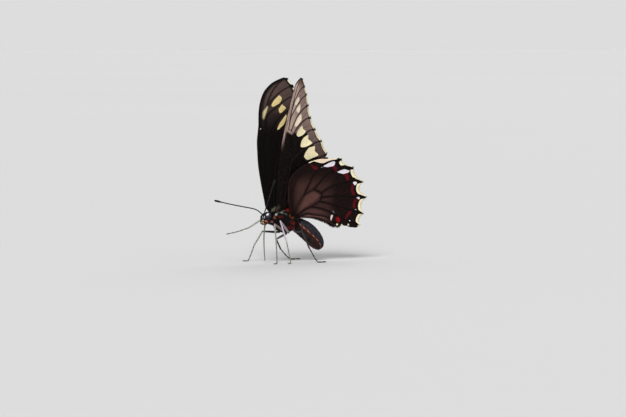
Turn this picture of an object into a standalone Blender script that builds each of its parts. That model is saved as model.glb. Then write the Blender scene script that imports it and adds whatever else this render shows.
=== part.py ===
"""A gold-rim swallowtail butterfly as a life-size still model.

It stands on five feet with its wings raised over its back and one foreleg stretched forward,
as it does at a meal. Sizes are in millimetres until the last step turns them to metres. The
head is towards -Y, the back is up, and the animal's own left is +X. The sagittal plane is X = 0.
"""

import math

import bpy
from mathutils import Matrix, Vector
from mathutils.geometry import delaunay_2d_cdt

MM = 0.001
GAP = 0.3  # clearance between neighbouring pieces

# Wings: a point is (rearward, upward) from the wing's hinge, which is (sideways, along, height)
MEMBRANE = 0.5
RIDGE_HEIGHT = 0.16  # how far a vein stands out of each face
RIDGE_HALF_WIDTH = 0.55
RIDGE_TAPER = 0.4  # the part of its width that a vein loses by its end
VEIN_STOP = 0.35  # veins end this far inside the margin
GRID_STEP = 4.2  # spacing of the points that carry a wing's curve between its veins
GRID_CLEARANCE = 1.8  # such a point keeps this far from the veins and the margin
ROOT_TUCK = 0.35  # how strongly the forewing closes on the thorax below its hinge
FORE_HINGE = (3.3, -2.0, 20.2)
FORE_SPREAD = (0.19, -0.0009)  # how the wing leans out with height: slope and bend
FORE_TWIST = (0.25, 0.45, 38.0)  # slope across the wing at the root, its gain, and the height for that
FORE_CAMBER = 8.0  # distance over which that slope levels out
TIP_TWIST = (0.27, 3.6, 30.0, 14.0)  # slope, the line it turns about, where it starts and its run
HIND_HINGE = (3.7, 1.5, 18.6)
HIND_SPREAD = (0.13, -0.055)  # slope with height and with distance back
FORE_COSTA = [
    (-3.0, -3.2), (-3.6, -0.6), (-3.75, 2.6), (-4.25, 8.3), (-4.6, 15.0), (-4.4, 21.0), (-4.2, 24.3),
    (-3.7, 27.4), (-3.1, 31.0), (-2.6, 34.8), (-1.8, 38.6), (-0.4, 42.6), (1.7, 45.6), (3.8, 47.2),
    (5.5, 48.05),
]
FORE_TEETH = [
    (6.6, 47.8), (8.4, 44.9), (9.6, 41.9), (10.5, 37.9), (11.4, 33.3), (13.2, 29.0), (16.15, 24.65),
    (18.85, 19.8),
]
FORE_BAYS = [
    (7.55, 46.2), (8.85, 43.4), (9.8, 39.8), (10.55, 35.5), (11.85, 31.1), (14.35, 26.6), (17.15, 22.1),
]
FORE_INNER = [
    (18.5, 19.0), (17.6, 17.8), (12.6, 13.4), (7.8, 8.8), (4.2, 4.3), (2.6, 1.2), (1.8, -1.0),
    (1.4, -3.2),
]
FORE_VEINS = {
    "costa": [(-2.0, -1.0), (-3.2, 6.0), (-3.8, 14.0), (-3.8, 21.0), (-3.4, 26.5)],
    "radius": [(-1.3, -1.0), (-2.2, 6.0), (-2.6, 14.0), (-2.4, 21.0), (-1.8, 26.0), (-1.0, 29.4)],
    "radius_1": [(-2.4, 21.0), (-3.0, 27.0), (-2.7, 32.4)],
    "radius_2": [(-1.9, 24.8), (-2.2, 31.0), (-1.8, 37.2)],
    "radius_3": [(-1.0, 29.4), (-1.2, 35.0), (-0.4, 40.2), (0.9, 43.8)],
    "radius_4": [(-1.0, 29.4), (-0.2, 36.0), (1.2, 40.8), (2.9, 44.4), (5.0, 47.1)],
    "radius_5": [(-0.2, 36.0), (1.2, 38.7), (2.8, 41.0), (4.6, 42.9), (6.6, 44.3), (8.0, 44.85)],
    "medial_1": [(-1.0, 29.4), (-0.1, 33.7), (3.1, 37.2), (6.5, 40.2), (9.2, 41.7)],
    "medial_2": [(0.7, 28.6), (3.1, 32.5), (5.6, 35.05), (8.4, 37.0), (10.1, 37.65)],
    "medial_3": [(2.3, 27.3), (4.0, 29.4), (6.2, 31.2), (9.0, 32.75), (11.0, 33.2)],
    "cubital_1": [(3.4, 23.4), (5.2, 25.4), (8.0, 27.2), (11.0, 28.6), (12.8, 28.85)],
    "cubital_2": [(2.3, 17.2), (5.6, 19.8), (9.5, 22.0), (13.2, 23.8), (15.75, 24.5)],
    "cubitus": [(-0.4, -1.0), (0.4, 6.0), (1.2, 12.0), (2.3, 17.2), (3.4, 23.4), (2.3, 27.3)],
    "cell_end": [(-1.0, 29.4), (0.7, 28.6), (2.3, 27.3)],
    "anal": [(0.6, -0.8), (2.4, 4.0), (7.0, 10.4), (12.4, 15.6), (16.0, 18.6), (18.5, 19.55)],
}
HIND_COSTA = [
    (0.3, -3.3), (-0.8, -1.3), (-1.6, 1.4), (-2.4, 4.5), (-2.6, 9.1), (-2.0, 13.0), (0.9, 15.8), (4.9, 18.0),
    (9.9, 19.4), (14.4, 19.5), (18.7, 19.75),
]
HIND_TEETH = [(20.2, 19.6), (25.8, 16.25), (30.6, 10.65), (32.6, 4.85), (31.7, -1.3), (30.5, -5.7)]
HIND_BAYS = [(21.4, 17.45), (26.7, 13.3), (29.0, 7.8), (30.35, 1.95), (29.75, -3.5)]
HIND_TAIL = [
    (29.7, -6.4), (28.4, -6.7), (27.0, -6.4), (25.8, -5.8), (24.6, -5.85), (23.5, -5.8), (22.3, -5.5),
    (21.2, -6.2),
]
HIND_INNER = [
    (19.9, -5.9), (17.6, -4.5), (13.7, -3.05), (10.3, -2.3), (6.4, -2.0), (4.0, -1.9), (2.9, -2.3),
    (2.6, -3.3),
]
HIND_VEINS = {
    "subcosta": [(0.4, -1.6), (-0.9, 4.6), (-0.6, 9.0), (1.7, 13.8), (4.6, 16.6), (7.9, 18.4)],
    "radius": [(0.9, -1.6), (1.6, 1.9), (4.6, 6.4), (8.8, 8.4)],
    "sector": [(4.6, 6.4), (7.4, 12.2), (9.0, 15.3), (11.6, 17.5), (15.0, 18.3), (19.3, 19.15)],
    "medial_1": [(8.8, 8.4), (14.3, 14.0), (18.0, 15.5), (21.2, 15.9), (25.2, 16.0)],
    "medial_2": [(12.1, 6.8), (15.0, 8.5), (19.8, 10.2), (24.7, 10.9), (30.1, 10.65)],
    "medial_3": [(12.1, 5.3), (20.1, 5.6), (26.0, 5.1), (32.1, 4.85)],
    "cubital_1": [(11.5, 3.7), (15.4, 3.0), (20.4, 1.7), (25.5, 0.3), (31.2, -1.2)],
    "cubital_2": [(8.0, 1.9), (11.9, 1.2), (15.2, 0.2), (18.0, -1.0), (23.6, -3.3), (29.7, -5.55)],
    "cell_end": [(8.8, 8.4), (12.1, 6.8), (12.3, 5.2), (11.5, 3.7)],
    "cubitus": [(1.4, -1.8), (5.0, 0.7), (8.0, 1.9), (11.5, 3.7)],
    "anal": [(1.9, -2.0), (6.0, -0.8), (9.2, -1.2), (13.4, -1.8), (16.2, -2.8), (18.6, -4.1), (20.6, -5.35)],
}


# The body, front to back: (along, height, half width, half height) of its oval sections
BODY_STATIONS = [
    (-9.75, 15.85, 0.45, 0.70),
    (-9.25, 16.05, 0.95, 1.40),
    (-8.30, 16.45, 1.30, 1.95),
    (-7.20, 16.80, 1.40, 2.15),
    (-6.10, 16.96, 1.25, 1.92),
    (-5.30, 16.75, 1.08, 1.85),
    (-4.60, 16.65, 1.90, 2.90),
    (-3.20, 16.72, 2.90, 4.03),
    (-1.30, 16.30, 3.40, 4.85),
    (0.80, 15.70, 3.45, 5.00),
    (2.80, 15.05, 3.05, 4.30),
    (4.60, 14.25, 2.20, 2.85),
    (6.40, 13.25, 2.50, 2.95),
    (8.60, 11.95, 2.85, 3.25),
    (11.00, 10.10, 2.90, 3.30),
    (13.00, 8.10, 2.70, 3.10),
    (14.55, 6.20, 2.22, 2.52),
    (15.55, 4.80, 1.22, 1.42),
]
NECK_STATION = 5.0
WAIST_STATION = 11.0
OVAL_POWER = 2.25  # 2 would be a plain ellipse, more is squarer
ABDOMEN_SEGMENTS = 7
SEGMENT_GROOVE = 0.05  # how much narrower a groove is, as a part of the radius
SEGMENT_PLACES = (0.0, 0.3, 0.75)  # rings along one segment, the first of them its groove
HEAD_RINGS, HEAD_SIDES = 11, 20
THORAX_RINGS, THORAX_SIDES = 14, 24
ABDOMEN_SIDES = 20

EYE_CENTRE = (1.30, -7.20, 17.20)
EYE_HALF_SIZE = (0.85, 1.25, 1.25)

# Each leg: hip, knee, ankle, and the points where its foot bends and ends
LEGS = {
    "fore_left": [
        (2.4, -1.7, 11.9), (6.0, -7.3, 14.5), (7.6, -7.5, 7.2),
        (8.6, -7.9, 0.35), (9.0, -9.4, 0.2),
    ],
    "mid_left": [
        (2.6, 0.4, 11.1), (5.6, -4.7, 15.6), (7.8, -3.3, 8.0),
        (9.8, -2.7, 0.35), (10.6, -4.2, 0.2),
    ],
    "hind_left": [
        (2.5, 3.3, 11.3), (8.4, 2.8, 11.9), (9.4, 5.4, 5.5),
        (9.6, 8.9, 0.35), (9.3, 12.6, 0.2),
    ],
    "fore_right": [
        (-1.9, -4.4, 14.1), (-4.6, -7.4, 15.5), (-6.1, -11.6, 12.7),
        (-7.2, -15.6, 11.4), (-8.2, -19.7, 10.5),
    ],
    "mid_right": [
        (-2.5, -0.7, 11.0), (-6.5, -5.5, 11.2), (-8.6, -7.7, 6.3),
        (-9.9, -9.7, 0.35), (-10.4, -11.6, 0.2),
    ],
    "hind_right": [
        (-2.5, 2.3, 10.3), (-7.4, 0.9, 8.1), (-9.0, 3.6, 4.2),
        (-9.9, 8.2, 0.35), (-10.0, 12.6, 0.2),
    ],
}
COXA_ROOTS = {"fore": (1.0, -2.4, 14.2), "mid": (1.0, 0.2, 13.6), "hind": (1.0, 2.4, 13.6)}
COXA_RADIUS = 0.62
FEMUR_RADII = (0.42, 0.50, 0.42, 0.34)
TIBIA_RADII = (0.32, 0.34, 0.33, 0.32)
TARSUS_RADIUS = 0.27
TARSUS_SEGMENTS = 5

ANTENNA_BASE = (0.55, -8.75, 17.75)
ANTENNA_REACH = {
    "left": [(2.6, -0.6, 2.7), (6.6, -1.6, 6.2), (10.5, -2.6, 9.9), (14.2, -3.3, 13.5)],
    "right": [(-1.65, -2.0, 1.9), (-4.5, -5.5, 2.85), (-7.7, -9.45, 3.8), (-11.4, -14.0, 5.1)],
}
SHAFT_RADIUS = 0.26
CLUB_RADIUS = 0.43
CLUB_LENGTH = 3.2
CLUB_SWELL = 0.6  # the part of the club's length over which it swells

PROBOSCIS_PATH = [(0, -7.9, 14.6), (0, -8.3, 12.4), (0, -8.5, 9.0), (0, -8.4, 5.0), (0, -8.1, 0.9)]
PROBOSCIS_RADIUS = 0.28
PALP_PATH = [(0.62, -7.6, 14.6), (0.76, -8.4, 14.3), (0.84, -9.1, 14.6), (0.80, -9.5, 15.3)]
PALP_RADII = (0.5, 0.28)

TIP_ROUNDING = 0.7  # the last ring of a rounded end: this part of the radius out, and as wide
END_RISE = 0.35  # how far the middle of a free end of the body stands out
SHARP_ANGLE = 40  # degrees; edges sharper than this keep a crease


def share(value):
    return min(max(value, 0), 1)


def curve_through(points, steps):
    """Points of a smooth curve through the given ones, with a number of steps between each two."""
    points = [Vector(point) for point in points]
    padded = [points[0] * 2 - points[1], *points, points[-1] * 2 - points[-2]]
    found = []
    for i in range(len(points) - 1):
        before, start, end, after = padded[i : i + 4]
        for step in range(steps):
            t = step / steps
            bend = before * -1 + start * 3 - end * 3 + after
            slope = before * 2 - start * 5 + end * 4 - after
            found.append((start * 2 + (end - before) * t + slope * t * t + bend * t ** 3) / 2)
    found.append(points[-1])
    return found


def material_for(name, colour, roughness):
    material = bpy.data.materials.new(name)
    material.use_nodes = True
    shader = material.node_tree.nodes["Principled BSDF"]
    shader.inputs["Base Color"].default_value = (*colour, 1)
    shader.inputs["Roughness"].default_value = roughness
    return material


def new_object(name, points, faces, colour=(0.02, 0.015, 0.015), roughness=0.6):
    mesh = bpy.data.meshes.new(name)
    mesh.from_pydata([tuple(point) for point in points], [], faces)
    mesh.validate()
    made = bpy.data.objects.new(name, mesh)
    bpy.context.scene.collection.objects.link(made)
    mesh.materials.append(material_for(name, colour, roughness))
    return made


def ring_faces(first, second, sides):
    for i in range(sides):
        after = (i + 1) % sides
        yield (first + i, first + after, second + after, second + i)


def skinned_rings(name, rings, front, back, **finish):
    """A closed body through rings of points, with a middle point at each end."""
    sides = len(rings[0])
    points = [front, *(point for ring in rings for point in ring), back]
    faces = [(0, 1 + (i + 1) % sides, 1 + i) for i in range(sides)]
    for row in range(len(rings) - 1):
        faces.extend(ring_faces(1 + row * sides, 1 + (row + 1) * sides, sides))
    last = 1 + (len(rings) - 1) * sides
    faces.extend((last + i, last + (i + 1) % sides, len(points) - 1) for i in range(sides))
    return new_object(name, points, faces, **finish)


def facing_out(made):
    """Turns the faces round where the body came out inside out."""
    volume = 0.0
    mesh = made.data
    mesh.calc_loop_triangles()
    for triangle in mesh.loop_triangles:
        a, b, c = (mesh.vertices[i].co for i in triangle.vertices)
        volume += a.dot(b.cross(c))
    if volume < 0:
        mesh.flip_normals()
    return made


def tube(name, path, radii, sides=8, **finish):
    """A round limb along a path of points, with a radius at each and a rounded tip at both ends."""
    path = [Vector(point) for point in path]
    steps = len(path) - 1
    side = (path[1] - path[0]).orthogonal().normalized()
    rings = []

    def ring(centre, direction, radius):
        nonlocal side
        side = (side - direction * side.dot(direction)).normalized()
        other = direction.cross(side)
        turns = [2 * math.pi * i / sides for i in range(sides)]
        return [centre + (side * math.cos(turn) + other * math.sin(turn)) * radius for turn in turns]

    for i, centre in enumerate(path):
        ahead = path[min(i + 1, steps)] - path[max(i - 1, 0)]
        direction = ahead.normalized()
        rounding = radii[i] * TIP_ROUNDING
        if i == 0:
            rings.append(ring(centre - direction * rounding, direction, rounding))
        rings.append(ring(centre, direction, radii[i]))
        if i == steps:
            rings.append(ring(centre + direction * rounding, direction, rounding))
    start = path[0] - (path[1] - path[0]).normalized() * radii[0]
    end = path[-1] + (path[-1] - path[-2]).normalized() * radii[-1]
    return facing_out(skinned_rings(name, rings, start, end, **finish))


def ellipsoid(name, centre, half_size, sides=16, rows=10, **finish):
    centre = Vector(centre)
    rings = []
    for row in range(1, rows):
        along = math.pi * row / rows
        ring = []
        for i in range(sides):
            turn = 2 * math.pi * i / sides
            across = math.sin(along)
            unit = Vector((math.cos(along), across * math.cos(turn), across * math.sin(turn)))
            ring.append(centre + unit * Vector(half_size))
        rings.append(ring)
    reach = Vector((half_size[0], 0, 0))
    return facing_out(skinned_rings(name, rings, centre + reach, centre - reach, **finish))


def body_section(position):
    """Centre, direction and half sizes of the body at a place among its stations."""
    stations = [Vector(station) for station in BODY_STATIONS]
    last = len(stations) - 1
    position = min(max(position, 0), last)
    index = min(int(position), last - 1)
    t = position - index
    padded = [stations[0] * 2 - stations[1], *stations, stations[-1] * 2 - stations[-2]]
    before, start, end, after = padded[index : index + 4]
    bend = before * -1 + start * 3 - end * 3 + after
    slope = before * 2 - start * 5 + end * 4 - after
    here = (start * 2 + (end - before) * t + slope * t * t + bend * t ** 3) / 2
    pace = ((end - before) + slope * 2 * t + bend * 3 * t * t) / 2
    direction = Vector((0, pace[0], pace[1])).normalized()
    return Vector((0, here[0], here[1])), direction, here[2], here[3]


def body_ring(position, sides, scale=1.0, shift=0.0):
    centre, direction, half_width, half_height = body_section(position)
    up = Vector((1, 0, 0)).cross(direction)
    if up.z < 0:
        up.negate()
    ring = []
    for i in range(sides):
        turn = 2 * math.pi * i / sides
        across = math.copysign(abs(math.cos(turn)) ** (2 / OVAL_POWER), math.cos(turn))
        rise = math.copysign(abs(math.sin(turn)) ** (2 / OVAL_POWER), math.sin(turn))
        offset = Vector((1, 0, 0)) * across * half_width + up * rise * half_height
        ring.append(centre + direction * shift + offset * scale)
    return ring


def body_piece(name, places, sides, grow=0.0, cut_front=False, cut_back=False, **finish):
    """One length of the body: a ring at each (position, scale), drawn back by half a gap at a cut."""
    rings = []
    for i, (position, scale) in enumerate(places):
        shift = 0.0
        if cut_front and i == 0:
            shift = GAP / 2
        if cut_back and i == len(places) - 1:
            shift = -GAP / 2
        half_width, half_height = body_section(position)[2:]
        spread = scale + grow / min(half_width, half_height)
        rings.append(body_ring(position, sides, spread, shift))
    ends = []
    for end, sign, cut in ((0, -1, cut_front), (-1, 1, cut_back)):
        middle = sum(rings[end], Vector()) / sides
        direction = body_section(places[end][0])[1]
        reach = 0.0 if cut else END_RISE + grow
        ends.append(middle + direction * sign * reach)
    return facing_out(skinned_rings(name, rings, ends[0], ends[1], **finish))


def evenly(first, last, count):
    return [(first + (last - first) * i / (count - 1), 1.0) for i in range(count)]


def apply_boolean(target, operation, helpers):
    """Joins or cuts with the helpers, applies it, removes them and keeps the largest closed surface."""
    collection = bpy.data.collections.new(f"{target.name}_helpers")
    bpy.context.scene.collection.children.link(collection)
    for helper in helpers:
        bpy.context.scene.collection.objects.unlink(helper)
        collection.objects.link(helper)
        helper.hide_render = True
        helper.display_type = "WIRE"
    modifier = target.modifiers.new(operation.lower(), "BOOLEAN")
    modifier.operation = operation
    modifier.operand_type = "COLLECTION"
    modifier.collection = collection
    modifier.solver = "EXACT"
    bpy.context.view_layer.update()
    graph = bpy.context.evaluated_depsgraph_get()
    result = bpy.data.meshes.new_from_object(target.evaluated_get(graph))
    target.modifiers.remove(modifier)
    target.data = result
    for helper in helpers:
        bpy.data.objects.remove(helper)
    bpy.data.collections.remove(collection)
    keep_largest(target)


def keep_largest(made):
    """Drops every loose scrap but the closed surface with the largest volume."""
    mesh = made.data
    group = list(range(len(mesh.vertices)))

    def top(i):
        while group[i] != i:
            group[i] = group[group[i]]
            i = group[i]
        return i

    for edge in mesh.edges:
        a, b = (top(i) for i in edge.vertices)
        group[a] = b
    mesh.calc_loop_triangles()
    volumes = {}
    for triangle in mesh.loop_triangles:
        a, b, c = (mesh.vertices[i].co for i in triangle.vertices)
        owner = top(triangle.vertices[0])
        volumes[owner] = volumes.get(owner, 0.0) + a.dot(b.cross(c))
    best = max(volumes, key=volumes.get)
    kept = {i: new for new, i in enumerate(i for i in range(len(group)) if top(i) == best)}
    if len(kept) == len(group):
        return
    points = [mesh.vertices[i].co.copy() for i in kept]
    faces = [[kept[i] for i in face.vertices] for face in mesh.polygons if face.vertices[0] in kept]
    materials = list(mesh.materials)
    fresh = bpy.data.meshes.new(mesh.name)
    fresh.from_pydata(points, [], faces)
    for material in materials:
        fresh.materials.append(material)
    made.data = fresh


def arc_through(start, deepest, end, steps=4):
    """A round bay between two teeth of a wing's margin, without its end point."""
    start, deepest, end = Vector(start), Vector(deepest), Vector(end)
    pull = deepest * 2 - (start + end) / 2
    found = []
    for step in range(steps):
        t = step / steps
        found.append(start * (1 - t) ** 2 + pull * 2 * t * (1 - t) + end * t * t)
    return found


def distance_to_line(point, line):
    """Distance from a point to a line of points, and how far along it, from 0 to 1, that is."""
    best, along = 1e9, 0.0
    for i in range(len(line) - 1):
        start, end = line[i], line[i + 1]
        run = end - start
        t = min(max((point - start).dot(run) / run.length_squared, 0), 1)
        away = (point - start - run * t).length
        if away < best:
            best, along = away, (i + t) / (len(line) - 1)
    return best, along


def ridge_at(point, veins):
    """How far the veins raise each face of the membrane here."""
    height = 0.0
    for vein in veins:
        away, along = distance_to_line(point, vein)
        half_width = RIDGE_HALF_WIDTH * (1 - RIDGE_TAPER * along)
        height = max(height, RIDGE_HEIGHT * (1 - away / half_width))
    return height


def inside(point, outline):
    crossings = 0
    for i, start in enumerate(outline):
        end = outline[(i + 1) % len(outline)]
        if (start.y > point.y) != (end.y > point.y):
            if point.x < start.x + (end.x - start.x) * (point.y - start.y) / (end.y - start.y):
                crossings += 1
    return crossings % 2 == 1


def flanks(vein):
    """The two lines where a vein's ridge runs out into the membrane."""
    lines = ([], [])
    last = len(vein) - 1
    for i, point in enumerate(vein):
        run = (vein[min(i + 1, last)] - vein[max(i - 1, 0)]).normalized()
        across = Vector((-run.y, run.x)) * RIDGE_HALF_WIDTH * (1 - RIDGE_TAPER * i / last)
        lines[0].append(point + across)
        lines[1].append(point - across)
    return lines


def wing_plan(outline, veins):
    """Flat points and triangles of a wing, with its veins and their flanks as edges."""
    border = [*outline, outline[0]]
    points = list(outline)
    edges = []

    def well_inside(point):
        return inside(point, outline) and distance_to_line(point, border)[0] > VEIN_STOP

    for vein in veins:
        for line in (vein, *flanks(vein)):
            first = len(points)
            points.extend(filter(well_inside, line))
            edges.extend((i, i + 1) for i in range(first, len(points) - 1))
    drawn = list(points)
    left = min(point.x for point in outline)
    bottom = min(point.y for point in outline)
    columns = int((max(point.x for point in outline) - left) / GRID_STEP) + 1
    row_step = GRID_STEP * math.sin(math.radians(60))
    rows = int((max(point.y for point in outline) - bottom) / row_step) + 1
    for row in range(rows):
        for column in range(columns):
            spot = Vector((left + (column + row % 2 / 2) * GRID_STEP, bottom + row * row_step))
            nearest = min((spot - other).length for other in drawn)
            if inside(spot, outline) and nearest > GRID_CLEARANCE:
                points.append(spot)
    loop = list(range(len(outline)))
    found, _, faces, *_ = delaunay_2d_cdt(points, edges, [loop], 1, 1e-4)
    return found, faces


def wing(name, side, hinge, outline, veins, height, **finish):
    """A thin curved vane: both faces share one plan, set off from its middle surface along the normal."""
    plan, faces = wing_plan(outline, veins)

    def middle(a, b):
        return Vector((height(a, b), hinge[1] + a, hinge[2] + b))

    reach = 0.05
    top, under = [], []
    for spot in plan:
        a, b = spot
        along = middle(a + reach, b) - middle(a - reach, b)
        upward = middle(a, b + reach) - middle(a, b - reach)
        normal = along.cross(upward).normalized()
        if normal.x < 0:
            normal.negate()
        offset = normal * (MEMBRANE / 2 + ridge_at(spot, veins))
        top.append(middle(a, b) + offset)
        under.append(middle(a, b) - offset)
    count = len(plan)
    mirrored = [Vector((point.x * side, point.y, point.z)) for point in top + under]
    sides = set()
    for face in faces:
        sides.update((start, face[(i + 1) % len(face)]) for i, start in enumerate(face))
    border = [(start, end) for start, end in sides if (end, start) not in sides]
    rim = [(end, start, start + count, end + count) for start, end in border]
    turned = [tuple(i + count for i in reversed(face)) for face in faces]
    return facing_out(new_object(name, mirrored, [*map(tuple, faces), *turned, *rim], **finish))


def fore_height(a, b):
    """How far out from the sagittal plane the forewing's middle surface is."""
    lean, bend = FORE_SPREAD
    at_root, gain, height = FORE_TWIST
    slope, axis, start, run = TIP_TWIST
    spread = FORE_HINGE[0] + lean * b + bend * b * b
    camber = (at_root + gain * share(b / height)) * FORE_CAMBER * math.tanh(a / FORE_CAMBER)
    tip = slope * share((b - start) / run) * (axis - a)
    tuck = ROOT_TUCK * max(0, 1 - b) ** 1.7
    return spread - camber + tip - tuck


def hind_height(a, b):
    """The same for the hindwing, which lies outside the forewing and closes towards its tail."""
    up, back = HIND_SPREAD
    lobe = 0.3 * math.exp(-(((a + 1) / 3) ** 2))
    tuck = 0.5 * max(0, 2.6 - math.hypot(a - 1.2, b + 2.6)) ** 1.5
    return HIND_HINGE[0] + up * b + back * a + lobe - tuck


def curved(points):
    """A smooth line of flat points through the given ones."""
    return [point.to_2d() for point in curve_through([(*point, 0) for point in points], 2)]


def vein_lines(veins):
    return [curved(vein) for vein in veins.values()]


def margin(teeth, bays):
    found = []
    for i, bay in enumerate(bays):
        found.extend(arc_through(teeth[i], bay, teeth[i + 1]))
    found.append(Vector(teeth[-1]))
    return found


def fore_outline():
    corner = Vector(FORE_INNER[0])
    return curved(FORE_COSTA) + margin(FORE_TEETH, FORE_BAYS) + [corner] + curved(FORE_INNER[1:])


def hind_outline():
    tail = [Vector(point) for point in HIND_TAIL]
    return curved(HIND_COSTA) + margin(HIND_TEETH, HIND_BAYS) + tail + curved(HIND_INNER)


def joint_ends(before, joint, after, first_radius, second_radius):
    """Where the two round ends at a joint sit, so that they keep the gap at any bend."""
    forward = ((joint - before).normalized() + (after - joint).normalized()).normalized()
    half = (first_radius + second_radius + GAP) / 2
    return joint - forward * half, joint + forward * half


def limb_part(name, path, radii, **finish):
    """One length of a leg through its path, with its radii spread along it."""
    places = curve_through(path, 4 if len(path) == 2 else 3)
    spread = []
    for i in range(len(places)):
        t = i / (len(places) - 1) * (len(radii) - 1)
        low = min(int(t), len(radii) - 2)
        spread.append(radii[low] + (radii[low + 1] - radii[low]) * (t - low))
    return tube(name, places, spread, **finish)


def tarsus(name, path, **finish):
    """The foot: five short joints, each widest at its far end, with a flat sole where it meets the floor."""
    places = curve_through(path, 8)
    lengths = [0.0]
    for i in range(1, len(places)):
        lengths.append(lengths[-1] + (places[i] - places[i - 1]).length)
    ring_places, radii = [], []
    for segment in range(TARSUS_SEGMENTS):
        for part, scale in ((0.06, 0.86), (0.82, 1.06)):
            along = lengths[-1] * (segment + part) / TARSUS_SEGMENTS
            index = max(i for i in range(len(lengths)) if lengths[i] <= along)
            index = min(index, len(lengths) - 2)
            t = (along - lengths[index]) / (lengths[index + 1] - lengths[index])
            ring_places.append(places[index].lerp(places[index + 1], t))
            radii.append(TARSUS_RADIUS * scale)
    made = tube(name, ring_places, radii, **finish)
    for vertex in made.data.vertices:
        vertex.co.z = max(vertex.co.z, 0)
    return made


def build_leg(leg, points):
    """Femur, tibia and tarsus as three objects, and the coxa that the thorax takes in."""
    pair, side = leg.split("_")
    sign = 1 if side == "left" else -1
    root = Vector(COXA_ROOTS[pair])
    root.x *= sign
    hip, knee, ankle, bend, toe = (Vector(point) for point in points)
    coxa_end, femur_start = joint_ends(root, hip, knee, COXA_RADIUS, FEMUR_RADII[0])
    femur_end, tibia_start = joint_ends(hip, knee, ankle, FEMUR_RADII[-1], TIBIA_RADII[0])
    tibia_end, tarsus_start = joint_ends(knee, ankle, bend, TIBIA_RADII[-1], TARSUS_RADIUS)
    limb_part(f"femur_{leg}", [femur_start, femur_end], FEMUR_RADII, colour=(0.03, 0.025, 0.025))
    limb_part(f"tibia_{leg}", [tibia_start, tibia_end], TIBIA_RADII, colour=(0.05, 0.045, 0.045))
    tarsus(f"tarsus_{leg}", [tarsus_start, bend, toe], colour=(0.08, 0.07, 0.07))
    return limb_part(f"coxa_{leg}", [root, coxa_end], (COXA_RADIUS * 1.3, COXA_RADIUS))


def head_body(name, **options):
    return body_piece(name, evenly(0, NECK_STATION, HEAD_RINGS), HEAD_SIDES, **options)


def thorax_body(name, **options):
    return body_piece(name, evenly(NECK_STATION, WAIST_STATION, THORAX_RINGS), THORAX_SIDES, **options)


def build_body():
    """Head, thorax with the legs' coxae, and abdomen, which part at the neck and the waist."""
    head = head_body("head", cut_back=True)
    thorax = thorax_body("thorax", cut_front=True, cut_back=True)
    places = []
    last = len(BODY_STATIONS) - 1
    for segment in range(ABDOMEN_SEGMENTS):
        for part in SEGMENT_PLACES:
            here = (segment + part) / ABDOMEN_SEGMENTS
            groove = SEGMENT_GROOVE if segment and not part else 0
            places.append((WAIST_STATION + (last - WAIST_STATION) * here, 1 - groove))
    places.append((last, 1.0))
    body_piece("abdomen", places, ABDOMEN_SIDES, cut_front=True, colour=(0.03, 0.03, 0.04))
    return head, thorax


def build_eyes(head):
    cups = []
    for side, sign in (("left", 1), ("right", -1)):
        centre = (EYE_CENTRE[0] * sign, EYE_CENTRE[1], EYE_CENTRE[2])
        ellipsoid(f"eye_{side}", centre, EYE_HALF_SIZE, colour=(0.02, 0.02, 0.03), roughness=0.2)
        cups.append(ellipsoid(f"cup_{side}", centre, [half + GAP for half in EYE_HALF_SIZE]))
    apply_boolean(head, "DIFFERENCE", cups)


def clear_of_head(made):
    apply_boolean(made, "DIFFERENCE", [head_body("head_clearance", grow=GAP)])


def build_feelers():
    """Antennae, palps and the uncoiled proboscis, each cut clear of the head."""
    for side, sign in (("left", 1), ("right", -1)):
        base = Vector((ANTENNA_BASE[0] * sign, ANTENNA_BASE[1], ANTENNA_BASE[2]))
        inner = base + Vector((-0.1 * sign, 0.5, -0.9))
        path = curve_through([inner, base, *(base + Vector(reach) for reach in ANTENNA_REACH[side])], 3)
        length = sum((path[i + 1] - path[i]).length for i in range(len(path) - 1))
        done = 0.0
        radii = []
        for i, point in enumerate(path):
            if i:
                done += (point - path[i - 1]).length
            club = share((done - length + CLUB_LENGTH) / (CLUB_LENGTH * CLUB_SWELL))
            radii.append(SHAFT_RADIUS + (CLUB_RADIUS - SHAFT_RADIUS) * club)
        radii[-1] = SHAFT_RADIUS
        antenna = tube(f"antenna_{side}", path, radii, colour=(0.03, 0.025, 0.02))
        clear_of_head(antenna)
        path = curve_through([(point[0] * sign, point[1], point[2]) for point in PALP_PATH], 3)
        taper = (PALP_RADII[1] - PALP_RADII[0]) / (len(path) - 1)
        radii = [PALP_RADII[0] + taper * i for i in range(len(path))]
        palp = tube(f"palp_{side}", path, radii, colour=(0.35, 0.1, 0.05))
        clear_of_head(palp)
    path = curve_through(PROBOSCIS_PATH, 3)
    proboscis = tube("proboscis", path, [PROBOSCIS_RADIUS] * len(path), colour=(0.12, 0.1, 0.1))
    clear_of_head(proboscis)


def build_wings():
    plans = {
        "forewing": (FORE_HINGE, fore_outline(), vein_lines(FORE_VEINS), fore_height),
        "hindwing": (HIND_HINGE, hind_outline(), vein_lines(HIND_VEINS), hind_height),
    }
    finish = {"colour": (0.05, 0.03, 0.025), "roughness": 0.7}
    for wing_name, (hinge, outline, veins, height) in plans.items():
        for side, sign in (("left", 1), ("right", -1)):
            made = wing(f"{wing_name}_{side}", sign, hinge, outline, veins, height, **finish)
            apply_boolean(made, "DIFFERENCE", [thorax_body("thorax_clearance", grow=GAP)])


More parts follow.
